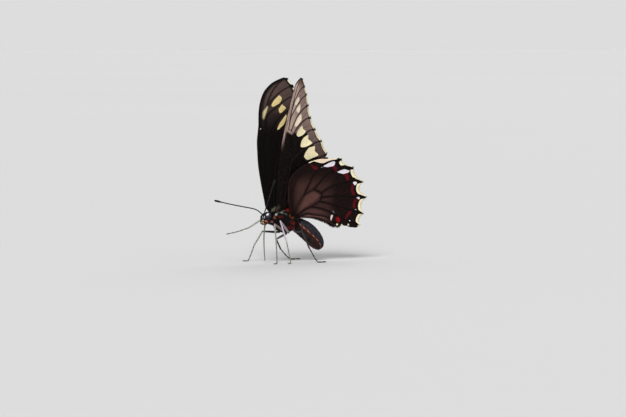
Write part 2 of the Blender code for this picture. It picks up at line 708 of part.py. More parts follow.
def stand_at_origin():
    """Turns millimetres to metres, with the middle of the model's floor box at the origin."""
    nodes = [made for made in bpy.context.scene.objects if made.type == "MESH"]
    corners = [vertex.co for made in nodes for vertex in made.data.vertices]
    middle_x = (min(c.x for c in corners) + max(c.x for c in corners)) / 2
    middle_y = (min(c.y for c in corners) + max(c.y for c in corners)) / 2
    move = Matrix.Scale(MM, 4) @ Matrix.Translation((-middle_x, -middle_y, 0))
    whole = bpy.data.objects.new("butterfly", None)
    bpy.context.scene.collection.objects.link(whole)
    for made in nodes:
        made.data.transform(move)
        made.data.shade_smooth()
        made.data.set_sharp_from_angle(angle=math.radians(SHARP_ANGLE))
        made.parent = whole


def main():
    for old in list(bpy.data.objects):
        bpy.data.objects.remove(old)
    head, thorax = build_body()
    coxae = [build_leg(leg, points) for leg, points in LEGS.items()]
    apply_boolean(thorax, "UNION", coxae)
    build_eyes(head)
    build_feelers()
    build_wings()
    stand_at_origin()


main()
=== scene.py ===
# %% [markdown]
# A gold-rim swallowtail butterfly.
# The model stands on its feet with its wings raised over its back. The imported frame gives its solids
# at their real size, and this script dresses them: wings with scales and veins, a hairy body, glossy
# eyes, jointed feelers and legs. Sizes below are in millimetres, in the animal's own frame: the head
# is towards -Y, the back is up, and the animal's own left is +X.

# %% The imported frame
import math

import bpy
import numpy as np
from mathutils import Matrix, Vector
from mathutils.geometry import delaunay_2d_cdt


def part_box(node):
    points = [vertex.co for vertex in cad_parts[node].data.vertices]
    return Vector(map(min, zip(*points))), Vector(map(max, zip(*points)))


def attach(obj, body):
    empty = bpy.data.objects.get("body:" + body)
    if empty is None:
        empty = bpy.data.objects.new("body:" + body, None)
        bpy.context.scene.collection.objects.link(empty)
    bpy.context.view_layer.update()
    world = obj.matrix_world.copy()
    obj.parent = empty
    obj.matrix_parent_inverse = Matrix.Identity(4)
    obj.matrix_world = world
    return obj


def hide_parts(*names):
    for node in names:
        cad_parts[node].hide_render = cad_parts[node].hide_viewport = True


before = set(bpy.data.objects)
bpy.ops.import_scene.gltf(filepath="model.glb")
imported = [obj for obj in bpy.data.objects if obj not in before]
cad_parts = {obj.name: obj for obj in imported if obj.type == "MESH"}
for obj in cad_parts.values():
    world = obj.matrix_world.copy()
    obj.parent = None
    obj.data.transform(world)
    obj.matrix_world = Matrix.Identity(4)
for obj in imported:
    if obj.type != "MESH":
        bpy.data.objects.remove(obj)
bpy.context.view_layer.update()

MM = 0.001
BOTH_SIDES = (("left", 1), ("right", -1))  # the animal's own sides, and the sign of X there

# %% [markdown]
# The frame's origin is the middle of the model's floor box, so the animal's own frame is shifted
# against it. The left eye is a plain ellipsoid with a known centre, so its box tells that shift.

# %% Where the animal's own frame sits
EYE_CENTRE = np.array((1.30, -7.20, 17.20))
EYE_HALF_SIZE = np.array((0.85, 1.25, 1.25))
eye_low, eye_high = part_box("eye_left")
SHIFT = np.array((eye_low + eye_high) / 2) / MM - EYE_CENTRE
print("shift in mm:", SHIFT.round(3))


def to_world(points):
    """Points in the animal's own millimetres, as metres in the frame."""
    return (np.asarray(points, float) + SHIFT) * MM


# %% [markdown]
# Every colour is written as an sRGB hex value, as a painter would pick it from a chart. Blender
# shades in linear light, so one function turns the one into the other.

# %% Colours and shader nodes
def linear(hex_colour):
    """The linear RGBA of an sRGB hex colour."""
    parts = [int(hex_colour[i : i + 2], 16) / 255 for i in (1, 3, 5)]
    return (*(c / 12.92 if c <= 0.04045 else ((c + 0.055) / 1.055) ** 2.4 for c in parts), 1.0)


def add_node(tree, kind, inputs=None, **settings):
    """Adds a node with its settings, and for each of its inputs sets a value or links a socket."""
    made = tree.nodes.new(kind)
    for name, value in settings.items():
        setattr(made, name, value)
    for name, value in (inputs or {}).items():
        if isinstance(value, bpy.types.NodeSocket):
            tree.links.new(value, made.inputs[name])
        else:
            made.inputs[name].default_value = value
    return made


def new_material(name, **sockets):
    """A material, its node tree and its shader, with plain values on the shader's own sockets."""
    material = bpy.data.materials.new(name)
    material.use_nodes = True
    shader = material.node_tree.nodes["Principled BSDF"]
    for socket, value in sockets.items():
        shader.inputs[socket.replace("_", " ")].default_value = value
    return material, material.node_tree, shader


def attribute(tree, name, output="Fac"):
    """What each point of a piece stores under a name, as the material reads it."""
    return add_node(tree, "ShaderNodeAttribute", attribute_name=name).outputs[output]


def pigmented(name, **sockets):
    """The same as new_material, for a piece whose points store their own colour."""
    material, tree, shader = new_material(name, **sockets)
    tree.links.new(attribute(tree, "pigment", "Color"), shader.inputs["Base Color"])
    return material, tree, shader


def map_range(tree, value, source, target, **settings):
    """Carries a value from one range of numbers over to another."""
    inputs = {"Value": value, "From Min": source[0], "From Max": source[1],
              "To Min": target[0], "To Max": target[1]}
    return add_node(tree, "ShaderNodeMapRange", inputs, **settings).outputs["Result"]


# %% [markdown]
# The camera stands where the photographer stood: 30 degrees ahead of the animal's side, a little
# above it, and far off with a long lens, so the picture is nearly parallel. The lens follows from how
# many pixels one millimetre fills in a picture of 626 by 417.

# %% The camera
FRAME_WIDTH, FRAME_HEIGHT = 626, 417
PIXELS_PER_MM = 2.7
AIM_PIXEL = (284, 262)  # where the animal's own zero point is in the picture
CAMERA_DISTANCE = 1160
AHEAD, ABOVE = math.radians(30), math.radians(3)
SENSOR = 36

toward = Vector((math.cos(AHEAD) * math.cos(ABOVE), -math.sin(AHEAD) * math.cos(ABOVE), math.sin(ABOVE)))
rightward = Vector((math.sin(AHEAD), math.cos(AHEAD), 0))
upward = toward.cross(rightward)
centre = rightward * ((FRAME_WIDTH / 2 - AIM_PIXEL[0]) / PIXELS_PER_MM)
centre += upward * ((AIM_PIXEL[1] - FRAME_HEIGHT / 2) / PIXELS_PER_MM)
camera_data = bpy.data.cameras.new("camera")
camera_data.sensor_width = SENSOR
camera_data.lens = SENSOR * CAMERA_DISTANCE * PIXELS_PER_MM / FRAME_WIDTH
camera = bpy.data.objects.new("camera", camera_data)
camera.rotation_mode = "QUATERNION"
camera.rotation_quaternion = (-toward).to_track_quat("-Z", "Y")
camera.location = to_world(centre + toward * CAMERA_DISTANCE)
camera_data.clip_start, camera_data.clip_end = 0.01, 200  # in metres
bpy.context.scene.collection.objects.link(camera)
bpy.context.scene.camera = camera
print("lens in mm:", round(camera_data.lens, 1))

# %% [markdown]
# A museum photographs such a model on pale paper under soft light. A wide sun lamp high in front
# gives the gloss on the eye and the back. A weaker one from behind draws the edge of the dark
# wings, and a pale world fills the shade. The world is as bright at the horizon as the lit paper,
# so that the two meet without a line.

# %% Floor and light
PAPER_GREYS = (0.58, 0.61)  # between these, in linear light, as the paper's grain has it
SKY_GREYS = (0.723, 0.45)  # at the horizon and high up
SKY_HEIGHTS = (0.02, 0.45)  # the sines of the heights where they are
FLOOR_HALF = 40.0  # in metres, so that no edge of the paper is in the picture
paper, tree, shader = new_material("paper", Roughness=0.9, Specular_IOR_Level=0.1)
grain = add_node(tree, "ShaderNodeTexNoise", {"Scale": 60.0, "Detail": 4.0})
tree.links.new(map_range(tree, grain.outputs["Fac"], (0, 1), PAPER_GREYS), shader.inputs["Base Color"])
floor_mesh = bpy.data.meshes.new("floor")
corners = [(x * FLOOR_HALF, y * FLOOR_HALF, 0) for x, y in ((-1, -1), (1, -1), (1, 1), (-1, 1))]
floor_mesh.from_pydata(corners, [], [(0, 1, 2, 3)])
floor_mesh.materials.append(paper)
floor = bpy.data.objects.new("floor", floor_mesh)
bpy.context.scene.collection.objects.link(floor)

LAMPS = {  # where it shines from, strength, and its width in degrees
    "key": ((0.62, -0.52, 0.78), 2.6, 30),
    "rim": ((-0.55, 0.75, 0.60), 0.9, 45),
}
for name, (source, strength, width) in LAMPS.items():
    lamp = bpy.data.lights.new(name, "SUN")
    lamp.energy = strength
    lamp.angle = math.radians(width)
    holder = bpy.data.objects.new(name, lamp)
    holder.location = source
    holder.rotation_mode = "QUATERNION"
    holder.rotation_quaternion = (-Vector(source)).to_track_quat("-Z", "Y")
    bpy.context.scene.collection.objects.link(holder)

world = bpy.data.worlds.new("studio")
world.use_nodes = True
tree = world.node_tree
sky_way = add_node(tree, "ShaderNodeTexCoord")
sky_height = add_node(tree, "ShaderNodeSeparateXYZ", {"Vector": sky_way.outputs["Generated"]})
sky_grey = map_range(tree, sky_height.outputs["Z"], SKY_HEIGHTS, SKY_GREYS)
tree.links.new(sky_grey, tree.nodes["Background"].inputs["Color"])
bpy.context.scene.world = world
bpy.context.scene.view_settings.view_transform = "Standard"

# %% [markdown]
# Most pieces are meshes worked out in code: arrays of points in millimetres and lists of faces. One
# helper makes the object, and another lets it take the place of the frame's pieces and ride on the body.

# %% Making pieces
def add_mesh(name, points, faces, materials, slots=None):
    """An object from points in the animal's own millimetres; slots say each face's material."""
    mesh = bpy.data.meshes.new(name)
    mesh.from_pydata(to_world(points).tolist(), [], [tuple(face) for face in faces])
    for material in materials:
        mesh.materials.append(material)
    if slots is not None:
        mesh.polygons.foreach_set("material_index", slots)
    mesh.shade_smooth()
    made = bpy.data.objects.new(name, mesh)
    bpy.context.scene.collection.objects.link(made)
    return made


def dress(piece, slot, *nodes):
    """The piece takes the place of these nodes and rides on the body. The slot is not used."""
    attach(piece, "root")
    if nodes:
        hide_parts(*nodes)
    print(piece.name, len(piece.data.polygons), "faces")


def paint(piece, name, values):
    """Stores a number, a place or a colour for each point of a piece, for its material to read."""
    values = np.asarray(values, np.float32)
    if values.ndim == 1:
        kind, field = "FLOAT", "value"
    elif name == "plan":
        kind, field = "FLOAT_VECTOR", "vector"
    else:
        kind, field = "FLOAT_COLOR", "color"
        values = np.column_stack([values, np.ones(len(values), np.float32)])
    piece.data.attributes.new(name, kind, "POINT").data.foreach_set(field, values.ravel())


def share(value):
    return np.clip(value, 0, 1)


def smooth(low, high, values):
    """From 0 at low to 1 at high, without a corner."""
    t = share((values - low) / (high - low))
    return t * t * (3 - 2 * t)


def unit(vectors):
    return vectors / np.linalg.norm(vectors, axis=-1, keepdims=True)


def laid_flat(lie, normal):
    """A direction pressed onto the surface with this normal."""
    return unit(lie - normal * np.einsum("ij,ij->i", lie, normal)[:, None])


def curve_through(points, steps):
    """A smooth curve through the points, with a number of steps between each two."""
    points = np.asarray(points, float)
    padded = np.vstack([points[0] * 2 - points[1], points, points[-1] * 2 - points[-2]])
    found = []
    for i in range(len(points) - 1):
        before, start, end, after = padded[i : i + 4]
        for t in np.arange(steps) / steps:
            slope = before * 2 - start * 5 + end * 4 - after
            bend = -before + start * 3 - end * 3 + after
            found.append((start * 2 + (end - before) * t + slope * t**2 + bend * t**3) / 2)
    return np.array([*found, points[-1]])


def closed_curve(points, steps=4):
    """The same, closed into a ring without a repeated point."""
    points = [*points[-2:], *points, *points[:2]]
    return curve_through(points, steps)[2 * steps : -2 * steps][:-steps]


# %% [markdown]
# The wings come first, because they are what the eye meets first. A real wing is a clear membrane
# between veins, thinner than paper, roofed with scales. It could be a flat card with a picture on
# it, but then it would show no curve and no relief. Here each wing is a fine mesh on the same
# curved surface as its solid, with the veins raised on both faces. A place on a wing is written
# as (a, b): millimetres rearward and upward from its hinge.

# %% The curved surface of each wing
def fore_height(a, b):
    """How far out from the middle plane the forewing is."""
    spread = 3.3 + 0.19 * b - 0.0009 * b * b  # it leans out, a little less higher up
    camber = (0.25 + 0.45 * share(b / 38)) * 8 * np.tanh(a / 8)  # its rear leans in
    twist = 0.27 * share((b - 30) / 14) * (3.6 - a)  # and its tip turns
    root_tuck = 0.35 * np.maximum(0, 1 - b) ** 1.7
    return spread - camber + twist - root_tuck


def hind_height(a, b):
    """The same for the hindwing, which lies outside the forewing."""
    spread = 3.7 + 0.13 * b - 0.055 * a
    front_lobe = 0.3 * np.exp(-(((a + 1) / 3) ** 2))
    root_tuck = 0.5 * np.maximum(0, 2.6 - np.hypot(a - 1.2, b + 2.6)) ** 1.5
    return spread + front_lobe - root_tuck


FORE_HINGE = (-2.0, 20.2)  # where (a, b) is zero: distance along the body, and height
HIND_HINGE = (1.5, 18.6)
print("forewing tip is", round(float(fore_height(5.5, 48.0)), 1), "mm out from the middle plane")

# %% [markdown]
# The outline of each wing has a smooth front edge, the costa, then teeth where the veins end with
# round bays between them, and a smooth inner edge. The same few points shape the solid.

# %% Outlines
FORE_COSTA = [
    (-3.0, -3.2), (-3.6, -0.6), (-3.75, 2.6), (-4.25, 8.3), (-4.6, 15.0), (-4.4, 21.0), (-4.2, 24.3),
    (-3.7, 27.4), (-3.1, 31.0), (-2.6, 34.8), (-1.8, 38.6), (-0.4, 42.6), (1.7, 45.6), (3.8, 47.2),
    (5.5, 48.05),
]
FORE_TEETH = [
    (6.6, 47.8), (8.4, 44.9), (9.6, 41.9), (10.5, 37.9), (11.4, 33.3), (13.2, 29.0), (16.15, 24.65),
    (18.85, 19.8),
]
FORE_BAYS = [
    (7.55, 46.2), (8.85, 43.4), (9.8, 39.8), (10.55, 35.5), (11.85, 31.1), (14.35, 26.6), (17.15, 22.1),
]
FORE_CORNER = (18.5, 19.0)
FORE_INNER = [(17.6, 17.8), (12.6, 13.4), (7.8, 8.8), (4.2, 4.3), (2.6, 1.2), (1.8, -1.0), (1.4, -3.2)]
HIND_COSTA = [
    (0.3, -3.3), (-0.8, -1.3), (-1.6, 1.4), (-2.4, 4.5), (-2.6, 9.1), (-2.0, 13.0), (0.9, 15.8),
    (4.9, 18.0), (9.9, 19.4), (14.4, 19.5), (18.7, 19.75),
]
HIND_TEETH = [(20.2, 19.6), (25.8, 16.25), (30.6, 10.65), (32.6, 4.85), (31.7, -1.3), (30.5, -5.7)]
HIND_BAYS = [(21.4, 17.45), (26.7, 13.3), (29.0, 7.8), (30.35, 1.95), (29.75, -3.5)]
HIND_TAIL = [
    (29.7, -6.4), (28.4, -6.7), (27.0, -6.4), (25.8, -5.8), (24.6, -5.85), (23.5, -5.8), (22.3, -5.5),
    (21.2, -6.2),
]
HIND_INNER = [
    (19.9, -5.9), (17.6, -4.5), (13.7, -3.05), (10.3, -2.3), (6.4, -2.0), (4.0, -1.9), (2.9, -2.3),
    (2.6, -3.3),
]
BAY_STEPS = 14


def margin(teeth, bays):
    """The scalloped edge: a bay is the arc from one tooth through its deepest point to the next."""
    found = []
    for start, deepest, end in zip(np.array(teeth), np.array(bays), np.array(teeth[1:])):
        pull = deepest * 2 - (start + end) / 2
        for t in np.arange(BAY_STEPS) / BAY_STEPS:
            found.append(start * (1 - t) ** 2 + pull * 2 * t * (1 - t) + end * t * t)
    return np.array([*found, teeth[-1]])


DARK_TEETH = np.array(HIND_TEETH) + (-0.12, -0.48)  # the black of a tooth lies on its lower side
fore_margin = margin(FORE_TEETH, FORE_BAYS)
hind_margin = margin(HIND_TEETH, HIND_BAYS)
fore_outline = np.vstack(
    [curve_through(FORE_COSTA, 10), fore_margin, [FORE_CORNER], curve_through(FORE_INNER, 10)]
)
hind_outline = np.vstack(
    [curve_through(HIND_COSTA, 10), hind_margin, curve_through(HIND_TAIL, 5), curve_through(HIND_INNER, 10)]
)
print("outline points:", len(fore_outline), len(hind_outline))

# %% [markdown]
# The veins are hollow ribs. They fan out from the cell, a long closed window by the hinge. Those at
# the front run into the costa, and each of the others ends in a tooth. Their pattern names a
# butterfly's family, so each has its own course here.

# %% Veins
FORE_VEINS = {
    "costa": [(-2.0, -1.0), (-3.2, 6.0), (-3.8, 14.0), (-3.8, 21.0), (-3.4, 26.5)],
    "radius": [(-1.3, -1.0), (-2.2, 6.0), (-2.6, 14.0), (-2.4, 21.0), (-1.8, 26.0), (-1.0, 29.4)],
    "radius_1": [(-2.4, 21.0), (-3.0, 27.0), (-2.7, 32.4)],
    "radius_2": [(-1.9, 24.8), (-2.2, 31.0), (-1.8, 37.2)],
    "radius_3": [(-1.0, 29.4), (-1.2, 35.0), (-0.4, 40.2), (0.9, 43.8)],
    "radius_4": [(-1.0, 29.4), (-0.2, 36.0), (1.2, 40.8), (2.9, 44.4), (5.0, 47.1)],
    "radius_5": [(-0.2, 36.0), (1.2, 38.7), (2.8, 41.0), (4.6, 42.9), (6.6, 44.3), (8.0, 44.85)],
    "medial_1": [(-1.0, 29.4), (-0.1, 33.7), (3.1, 37.2), (6.5, 40.2), (9.2, 41.7)],
    "medial_2": [(0.7, 28.6), (3.1, 32.5), (5.6, 35.05), (8.4, 37.0), (10.1, 37.65)],
    "medial_3": [(2.3, 27.3), (4.0, 29.4), (6.2, 31.2), (9.0, 32.75), (11.0, 33.2)],
    "cubital_1": [(3.4, 23.4), (5.2, 25.4), (8.0, 27.2), (11.0, 28.6), (12.8, 28.85)],
    "cubital_2": [(2.3, 17.2), (5.6, 19.8), (9.5, 22.0), (13.2, 23.8), (15.75, 24.5)],
    "cubitus": [(-0.4, -1.0), (0.4, 6.0), (1.2, 12.0), (2.3, 17.2), (3.4, 23.4), (2.3, 27.3)],
    "cell_closing": [(-1.0, 29.4), (0.7, 28.6), (2.3, 27.3)],
    "anal": [(0.6, -0.8), (2.4, 4.0), (7.0, 10.4), (12.4, 15.6), (16.0, 18.6), (18.5, 19.55)],
}
HIND_VEINS = {
    "subcosta": [(0.4, -1.6), (-0.9, 4.6), (-0.6, 9.0), (1.7, 13.8), (4.6, 16.6), (7.9, 18.4)],
    "radius": [(0.9, -1.6), (1.6, 1.9), (4.6, 6.4), (8.8, 8.4)],
    "sector": [(4.6, 6.4), (7.4, 12.2), (9.0, 15.3), (11.6, 17.5), (15.0, 18.3), (19.3, 19.15)],
    "medial_1": [(8.8, 8.4), (14.3, 14.0), (18.0, 15.5), (21.2, 15.9), (25.2, 16.0)],
    "medial_2": [(12.1, 6.8), (15.0, 8.5), (19.8, 10.2), (24.7, 10.9), (30.1, 10.65)],
    "medial_3": [(12.1, 5.3), (20.1, 5.6), (26.0, 5.1), (32.1, 4.85)],
    "cubital_1": [(11.5, 3.7), (15.4, 3.0), (20.4, 1.7), (25.5, 0.3), (31.2, -1.2)],
    "cubital_2": [(8.0, 1.9), (11.9, 1.2), (15.2, 0.2), (18.0, -1.0), (23.6, -3.3), (29.7, -5.55)],
    "cell_end": [(8.8, 8.4), (12.1, 6.8), (12.3, 5.2), (11.5, 3.7)],
    "cubitus": [(1.4, -1.8), (5.0, 0.7), (8.0, 1.9), (11.5, 3.7)],
    "anal": [
        (1.9, -2.0), (6.0, -0.8), (9.2, -1.2), (13.4, -1.8), (16.2, -2.8), (18.6, -4.1), (20.6, -5.35)],
}
THIN_VEINS = {  # with less black along them
    "costa", "radius", "radius_1", "radius_2", "radius_3", "cell_closing", "subcosta"}
fore_veins = {name: curve_through(vein, 6) for name, vein in FORE_VEINS.items()}
hind_veins = {name: curve_through(vein, 6) for name, vein in HIND_VEINS.items()}
print("veins:", len(fore_veins), len(hind_veins))

# %% [markdown]
# Two measurements carry all that follows: how far a place is from a line, such as a vein or the
# margin, and how deep it lies inside a closed outline, such as a spot.

# %% Distances on a wing
def distance_to_line(places, line):
    """The distance of each place from the line, and how far along the line that is, from 0 to 1."""
    best = np.full(len(places), 1e9)
    along = np.zeros(len(places))
    for i, (start, end) in enumerate(zip(line, line[1:])):
        run = end - start
        t = share((places - start) @ run / max(run @ run, 1e-12))
        away = np.linalg.norm(places - start - t[:, None] * run, axis=1)
        nearer = away < best
        best[nearer] = away[nearer]
        along[nearer] = (i + t[nearer]) / (len(line) - 1)
    return best, along


def from_curve(places, points, steps=10):
    """The distance of each place from a smooth curve through the points."""
    return distance_to_line(places, curve_through(points, steps))[0]


def from_nearest(places, spots):
    """The distance of each place from the nearest of the spots."""
    return np.min([np.linalg.norm(places - spot, axis=1) for spot in np.array(spots)], axis=0)


def inside(places, outline):
    """Which places a closed outline holds: a line from them crosses it an odd number of times."""
    crossings = np.zeros(len(places), int)
    for start, end in zip(outline, np.roll(outline, -1, axis=0)):
        straddles = (start[1] > places[:, 1]) != (end[1] > places[:, 1])
        rise = end[1] - start[1] if end[1] != start[1] else 1e-12
        crossing = start[0] + (end[0] - start[0]) * (places[:, 1] - start[1]) / rise
        crossings += straddles & (places[:, 0] < crossing)
    return crossings % 2 == 1


def depth_inside(places, outline):
    """Millimetres inside a closed outline, negative outside it."""
    outline = np.asarray(outline, float)
    away = distance_to_line(places, np.vstack([outline, outline[:1]]))[0]
    return np.where(inside(places, outline), away, -away)


def deepest(places, outlines):
    """Millimetres inside the nearest of several smooth spots."""
    return np.max([depth_inside(places, closed_curve(outline)) for outline in outlines], axis=0)


# %% [markdown]
# The plan of a wing is a flat net of triangles. A grid alone would saw across the veins, so the net
# is a Delaunay one: the outline, each vein and two lines along each of its flanks are edges in it,
# and an even grid fills the fields between them.

# %% The plan of a wing
GRID_STEP = 0.42
VEIN_RADII = (0.26, 0.12)  # at its root and at its end
FLANKS = (-1.0, -0.55, 0.0, 0.55, 1.0)  # lines along a vein, as parts of its half width
LINE_TO_BORDER = 0.12  # nearer than this, a vein's lines stop
GRID_TO_LINE = 0.3  # and so does the grid
MERGE_DISTANCE = 1e-4


def vein_half_width(along):
    return VEIN_RADII[0] + (VEIN_RADII[1] - VEIN_RADII[0]) * along


def wing_plan(outline, veins):
    """Places and triangles of a flat wing."""
    border = np.vstack([outline, outline[:1]])
    points = [outline]
    edges = []
    count = len(outline)
    for vein in veins.values():
        runs = np.gradient(vein, axis=0)
        across = unit(np.column_stack([-runs[:, 1], runs[:, 0]]))
        width = vein_half_width(np.linspace(0, 1, len(vein)))[:, None]
        for flank in FLANKS:
            line = vein + across * width * flank
            line = line[inside(line, outline) & (distance_to_line(line, border)[0] > LINE_TO_BORDER)]
            points.append(line)
            edges.extend((count + i, count + i + 1) for i in range(len(line) - 1))
            count += len(line)
    low, high = outline.min(0), outline.max(0)
    rows = np.arange(low[1], high[1], GRID_STEP * 0.87)
    columns = np.arange(low[0], high[0], GRID_STEP)
    grid = np.array([(a + (i % 2) * GRID_STEP / 2, b) for i, b in enumerate(rows) for a in columns])
    grid = grid[inside(grid, outline)]
    nearest = np.min([distance_to_line(grid, line)[0] for line in (border, *veins.values())], axis=0)
    points.append(grid[nearest > GRID_TO_LINE])
    spots = [Vector(point) for point in np.vstack(points)]
    loop = list(range(len(outline)))
    found, _, faces, *_ = delaunay_2d_cdt(spots, edges, [loop], 1, MERGE_DISTANCE)
    return np.array([tuple(p) for p in found]), [tuple(face) for face in faces]


fore_plan, fore_faces = wing_plan(fore_outline, fore_veins)
hind_plan, hind_faces = wing_plan(hind_outline, hind_veins)
print("plan triangles:", len(fore_faces), len(hind_faces))

# %% [markdown]
# The markings are what names this butterfly. On the underside of the forewing three clear cream
# hearts and three faint ones stand between the veins, on a pale field that fills the wing's end.
# The upper side is darker, with four more spots. Each mark is an outline in real millimetres, and
# every point of the mesh stores how deep inside it lies. The material turns that depth into a clean
# edge, jagged by one scale, at any zoom.

# %% Markings of the forewing
HEARTS = [
    [(7.0, 30.4), (7.3, 29.9), (7.5, 29.2), (8.3, 28.7), (8.85, 28.1), (8.2, 27.5), (7.3, 26.9), (6.2, 26.5),
     (5.2, 26.3), (4.4, 26.8), (4.4, 27.8), (5.5, 29.2), (6.2, 30.0)],
    [(10.0, 26.95), (10.25, 26.2), (10.2, 25.3), (11.3, 24.6), (12.05, 23.9), (11.5, 23.4), (10.1, 22.8),
     (8.7, 22.4), (6.9, 22.45), (6.7, 23.1), (7.05, 24.6), (7.85, 25.8), (8.85, 26.6)],
    [(13.2, 22.7), (13.4, 21.6), (13.4, 20.8), (14.2, 20.2), (15.0, 19.4), (14.4, 18.9), (13.2, 18.5),
     (11.8, 18.0), (10.2, 17.6), (9.2, 18.2), (8.6, 19.0), (9.5, 20.9), (10.9, 22.2), (12.0, 22.6)],
]
FAINT_HEARTS = [
    [(4.7, 40.7), (4.8, 39.8), (4.1, 39.0), (2.9, 38.2), (2.0, 38.5), (2.9, 39.9), (3.8, 40.6)],
    [(5.7, 38.0), (5.7, 36.9), (5.3, 35.8), (4.7, 35.4), (3.8, 35.9), (3.6, 36.7), (4.3, 37.5)],
    [(6.3, 34.5), (6.5, 32.7), (5.8, 31.9), (4.6, 30.8), (3.6, 30.3), (3.0, 30.8), (4.2, 33.1), (5.3, 34.1)],
]
UPPER_SPOTS = [
    [(3.9, 41.4), (4.6, 40.6), (4.6, 39.8), (3.9, 38.5), (3.0, 37.8), (1.9, 37.1), (1.5, 37.7), (2.4, 39.6),
     (3.2, 40.7)],
    [(4.7, 38.2), (5.1, 37.5), (5.9, 36.8), (5.1, 35.7), (4.0, 34.7), (3.6, 35.6), (3.7, 36.5), (4.2, 37.4)],
    [(0.3, 37.4), (0.4, 36.8), (-0.1, 35.2), (-0.7, 33.7), (-1.2, 32.4), (-1.5, 32.7), (-1.4, 34.0),
     (-1.1, 35.5), (-0.4, 36.8)],
    [(5.9, 34.3), (5.9, 32.9), (5.2, 30.9), (4.0, 29.5), (2.9, 28.5), (2.9, 29.2), (3.6, 30.9), (4.6, 32.8)],
]
UPPER_HEARTS = [[(a + 1.3, b - 0.2) for a, b in HEARTS[0]], *HEARTS[1:]]
PALE_FIELD = [
    (-4.6, 25.4), (-3.5, 26.4), (-2.1, 28.0), (-0.2, 27.5), (1.3, 26.9), (2.7, 27.4), (4.0, 27.6),
    (6.5, 27.2), (9.3, 27.3), (9.5, 26.5), (9.0, 24.5), (11.5, 23.3), (12.4, 22.6), (12.0, 20.5),
    (13.5, 19.0), (15.5, 18.0), (18.0, 17.0), (25.0, 22.0), (14.0, 50.0), (0.0, 52.0), (-6.0, 45.0),
    (-6.5, 30.0),
]
FOLD_ENDS = [  # where the crease behind each bay ends
    (5.6, 44.6), (5.4, 40.6), (5.9, 36.9), (6.8, 33.0), (7.6, 29.2), (10.4, 25.1), (13.1, 20.6),
]
PIN_SPOT = (-2.6, 28.9)  # a white dot on the upper side
print("forewing spots:", len(HEARTS + FAINT_HEARTS), "below,", len(UPPER_SPOTS + UPPER_HEARTS), "above")

# %% [markdown]
# The hindwing has a cream band along its front end, pinkish white bars by the veins, red crescents
# next to them, and a few small spots at its tail corner. The cream bays along its edge need no
# outline, because they follow from the distance to the margin.

# %% Markings of the hindwing
COSTAL_BAND = [
    (19.6, 19.9), (19.5, 19.4), (17.0, 19.2), (15.1, 18.95), (13.7, 18.5), (12.3, 18.0), (11.2, 18.0),
    (9.9, 18.3), (8.7, 18.6), (7.9, 18.75), (7.2, 18.6), (6.6, 18.35), (6.0, 18.05), (5.4, 18.5),
    (9.9, 20.0), (14.4, 20.2),
]
BAND_LINE = [
    (7.2, 18.2), (8.2, 18.45), (9.7, 17.9), (11.4, 17.6), (12.6, 17.65), (14.2, 18.3), (16.1, 18.8),
    (19.2, 18.95),
]
WHITE_BARS = [
    [(12.3, 16.6), (12.6, 17.0), (14.3, 17.8), (15.9, 18.5), (17.3, 18.5), (17.4, 17.8), (17.1, 16.95),
     (16.2, 16.7), (14.6, 16.45), (13.0, 16.0)],
    [(18.8, 14.4), (19.1, 14.7), (20.5, 15.2), (22.5, 15.55), (24.0, 15.4), (24.1, 14.7), (23.6, 14.2),
     (21.4, 13.7), (19.5, 13.55)],
    [(25.9, 10.4), (26.7, 10.8), (27.8, 10.7), (28.3, 10.2), (27.7, 9.7), (26.9, 9.3), (26.2, 9.9)],
    [(28.0, 4.6), (28.8, 5.1), (29.6, 4.5), (29.3, 3.9), (28.5, 4.0)],
    [(27.5, -0.1), (28.0, 0.4), (28.5, -0.1), (28.1, -0.5)],
    [(24.9, -4.0), (25.5, -3.7), (26.3, -4.2), (25.6, -4.5)],
    [(11.3, 16.3), (11.6, 16.6), (11.9, 16.3), (11.6, 16.0)],
]
CREAM_BAR = [(17.15, -1.7), (17.7, -1.5), (18.1, -1.8), (17.6, -2.8), (17.4, -3.6), (17.0, -3.5)]
GREY_BAR = [(17.6, 0.0), (17.9, 0.1), (18.7, -0.9), (18.4, -1.0)]
TAIL_SPOTS = [(22.3, -5.6, 0.5), (25.2, -5.6, 0.5), (20.1, -5.2, 0.4)]  # place and radius
CELL = [(2.0, -1.0), (4.8, 6.2), (8.8, 8.2), (12.0, 6.6), (11.9, 5.3), (8.6, 2.9), (5.0, 0.9)]
RED_MARKS = [
    [(16.3, 16.4), (17.4, 16.7), (18.3, 16.2), (18.5, 15.2), (17.9, 14.6), (17.1, 15.2)],
    [(6.6, 17.4), (7.4, 17.5), (7.8, 16.9), (9.1, 16.7), (9.9, 16.2), (9.4, 15.6), (7.9, 16.1), (6.7, 16.6)],
    [(21.6, 13.8), (23.0, 13.9), (24.0, 12.9), (24.2, 12.0), (23.5, 11.2), (22.8, 12.0), (22.6, 13.0)],
    [(25.5, 9.8), (26.3, 9.3), (26.6, 8.3), (26.3, 7.6), (27.0, 6.6), (27.3, 6.0), (26.6, 5.6), (25.8, 6.5),
     (25.4, 7.9), (25.3, 9.1)],
    [(27.2, 4.1), (28.6, 3.9), (28.1, 3.1), (27.7, 2.5), (27.6, 1.8), (27.9, 1.1), (27.5, 0.5), (26.8, 1.1),
     (26.6, 2.0), (27.0, 3.0)],
    [(24.9, -0.4), (26.1, -0.3), (25.9, -1.3), (24.8, -2.3), (23.9, -3.5), (23.6, -3.0), (24.3, -1.6)],
    [(19.2, -2.9), (20.2, -2.3), (21.2, -2.9), (21.3, -4.0), (20.3, -4.6), (19.2, -4.0)],
]
print("hindwing marks:", len(WHITE_BARS), "white,", len(RED_MARKS), "red")
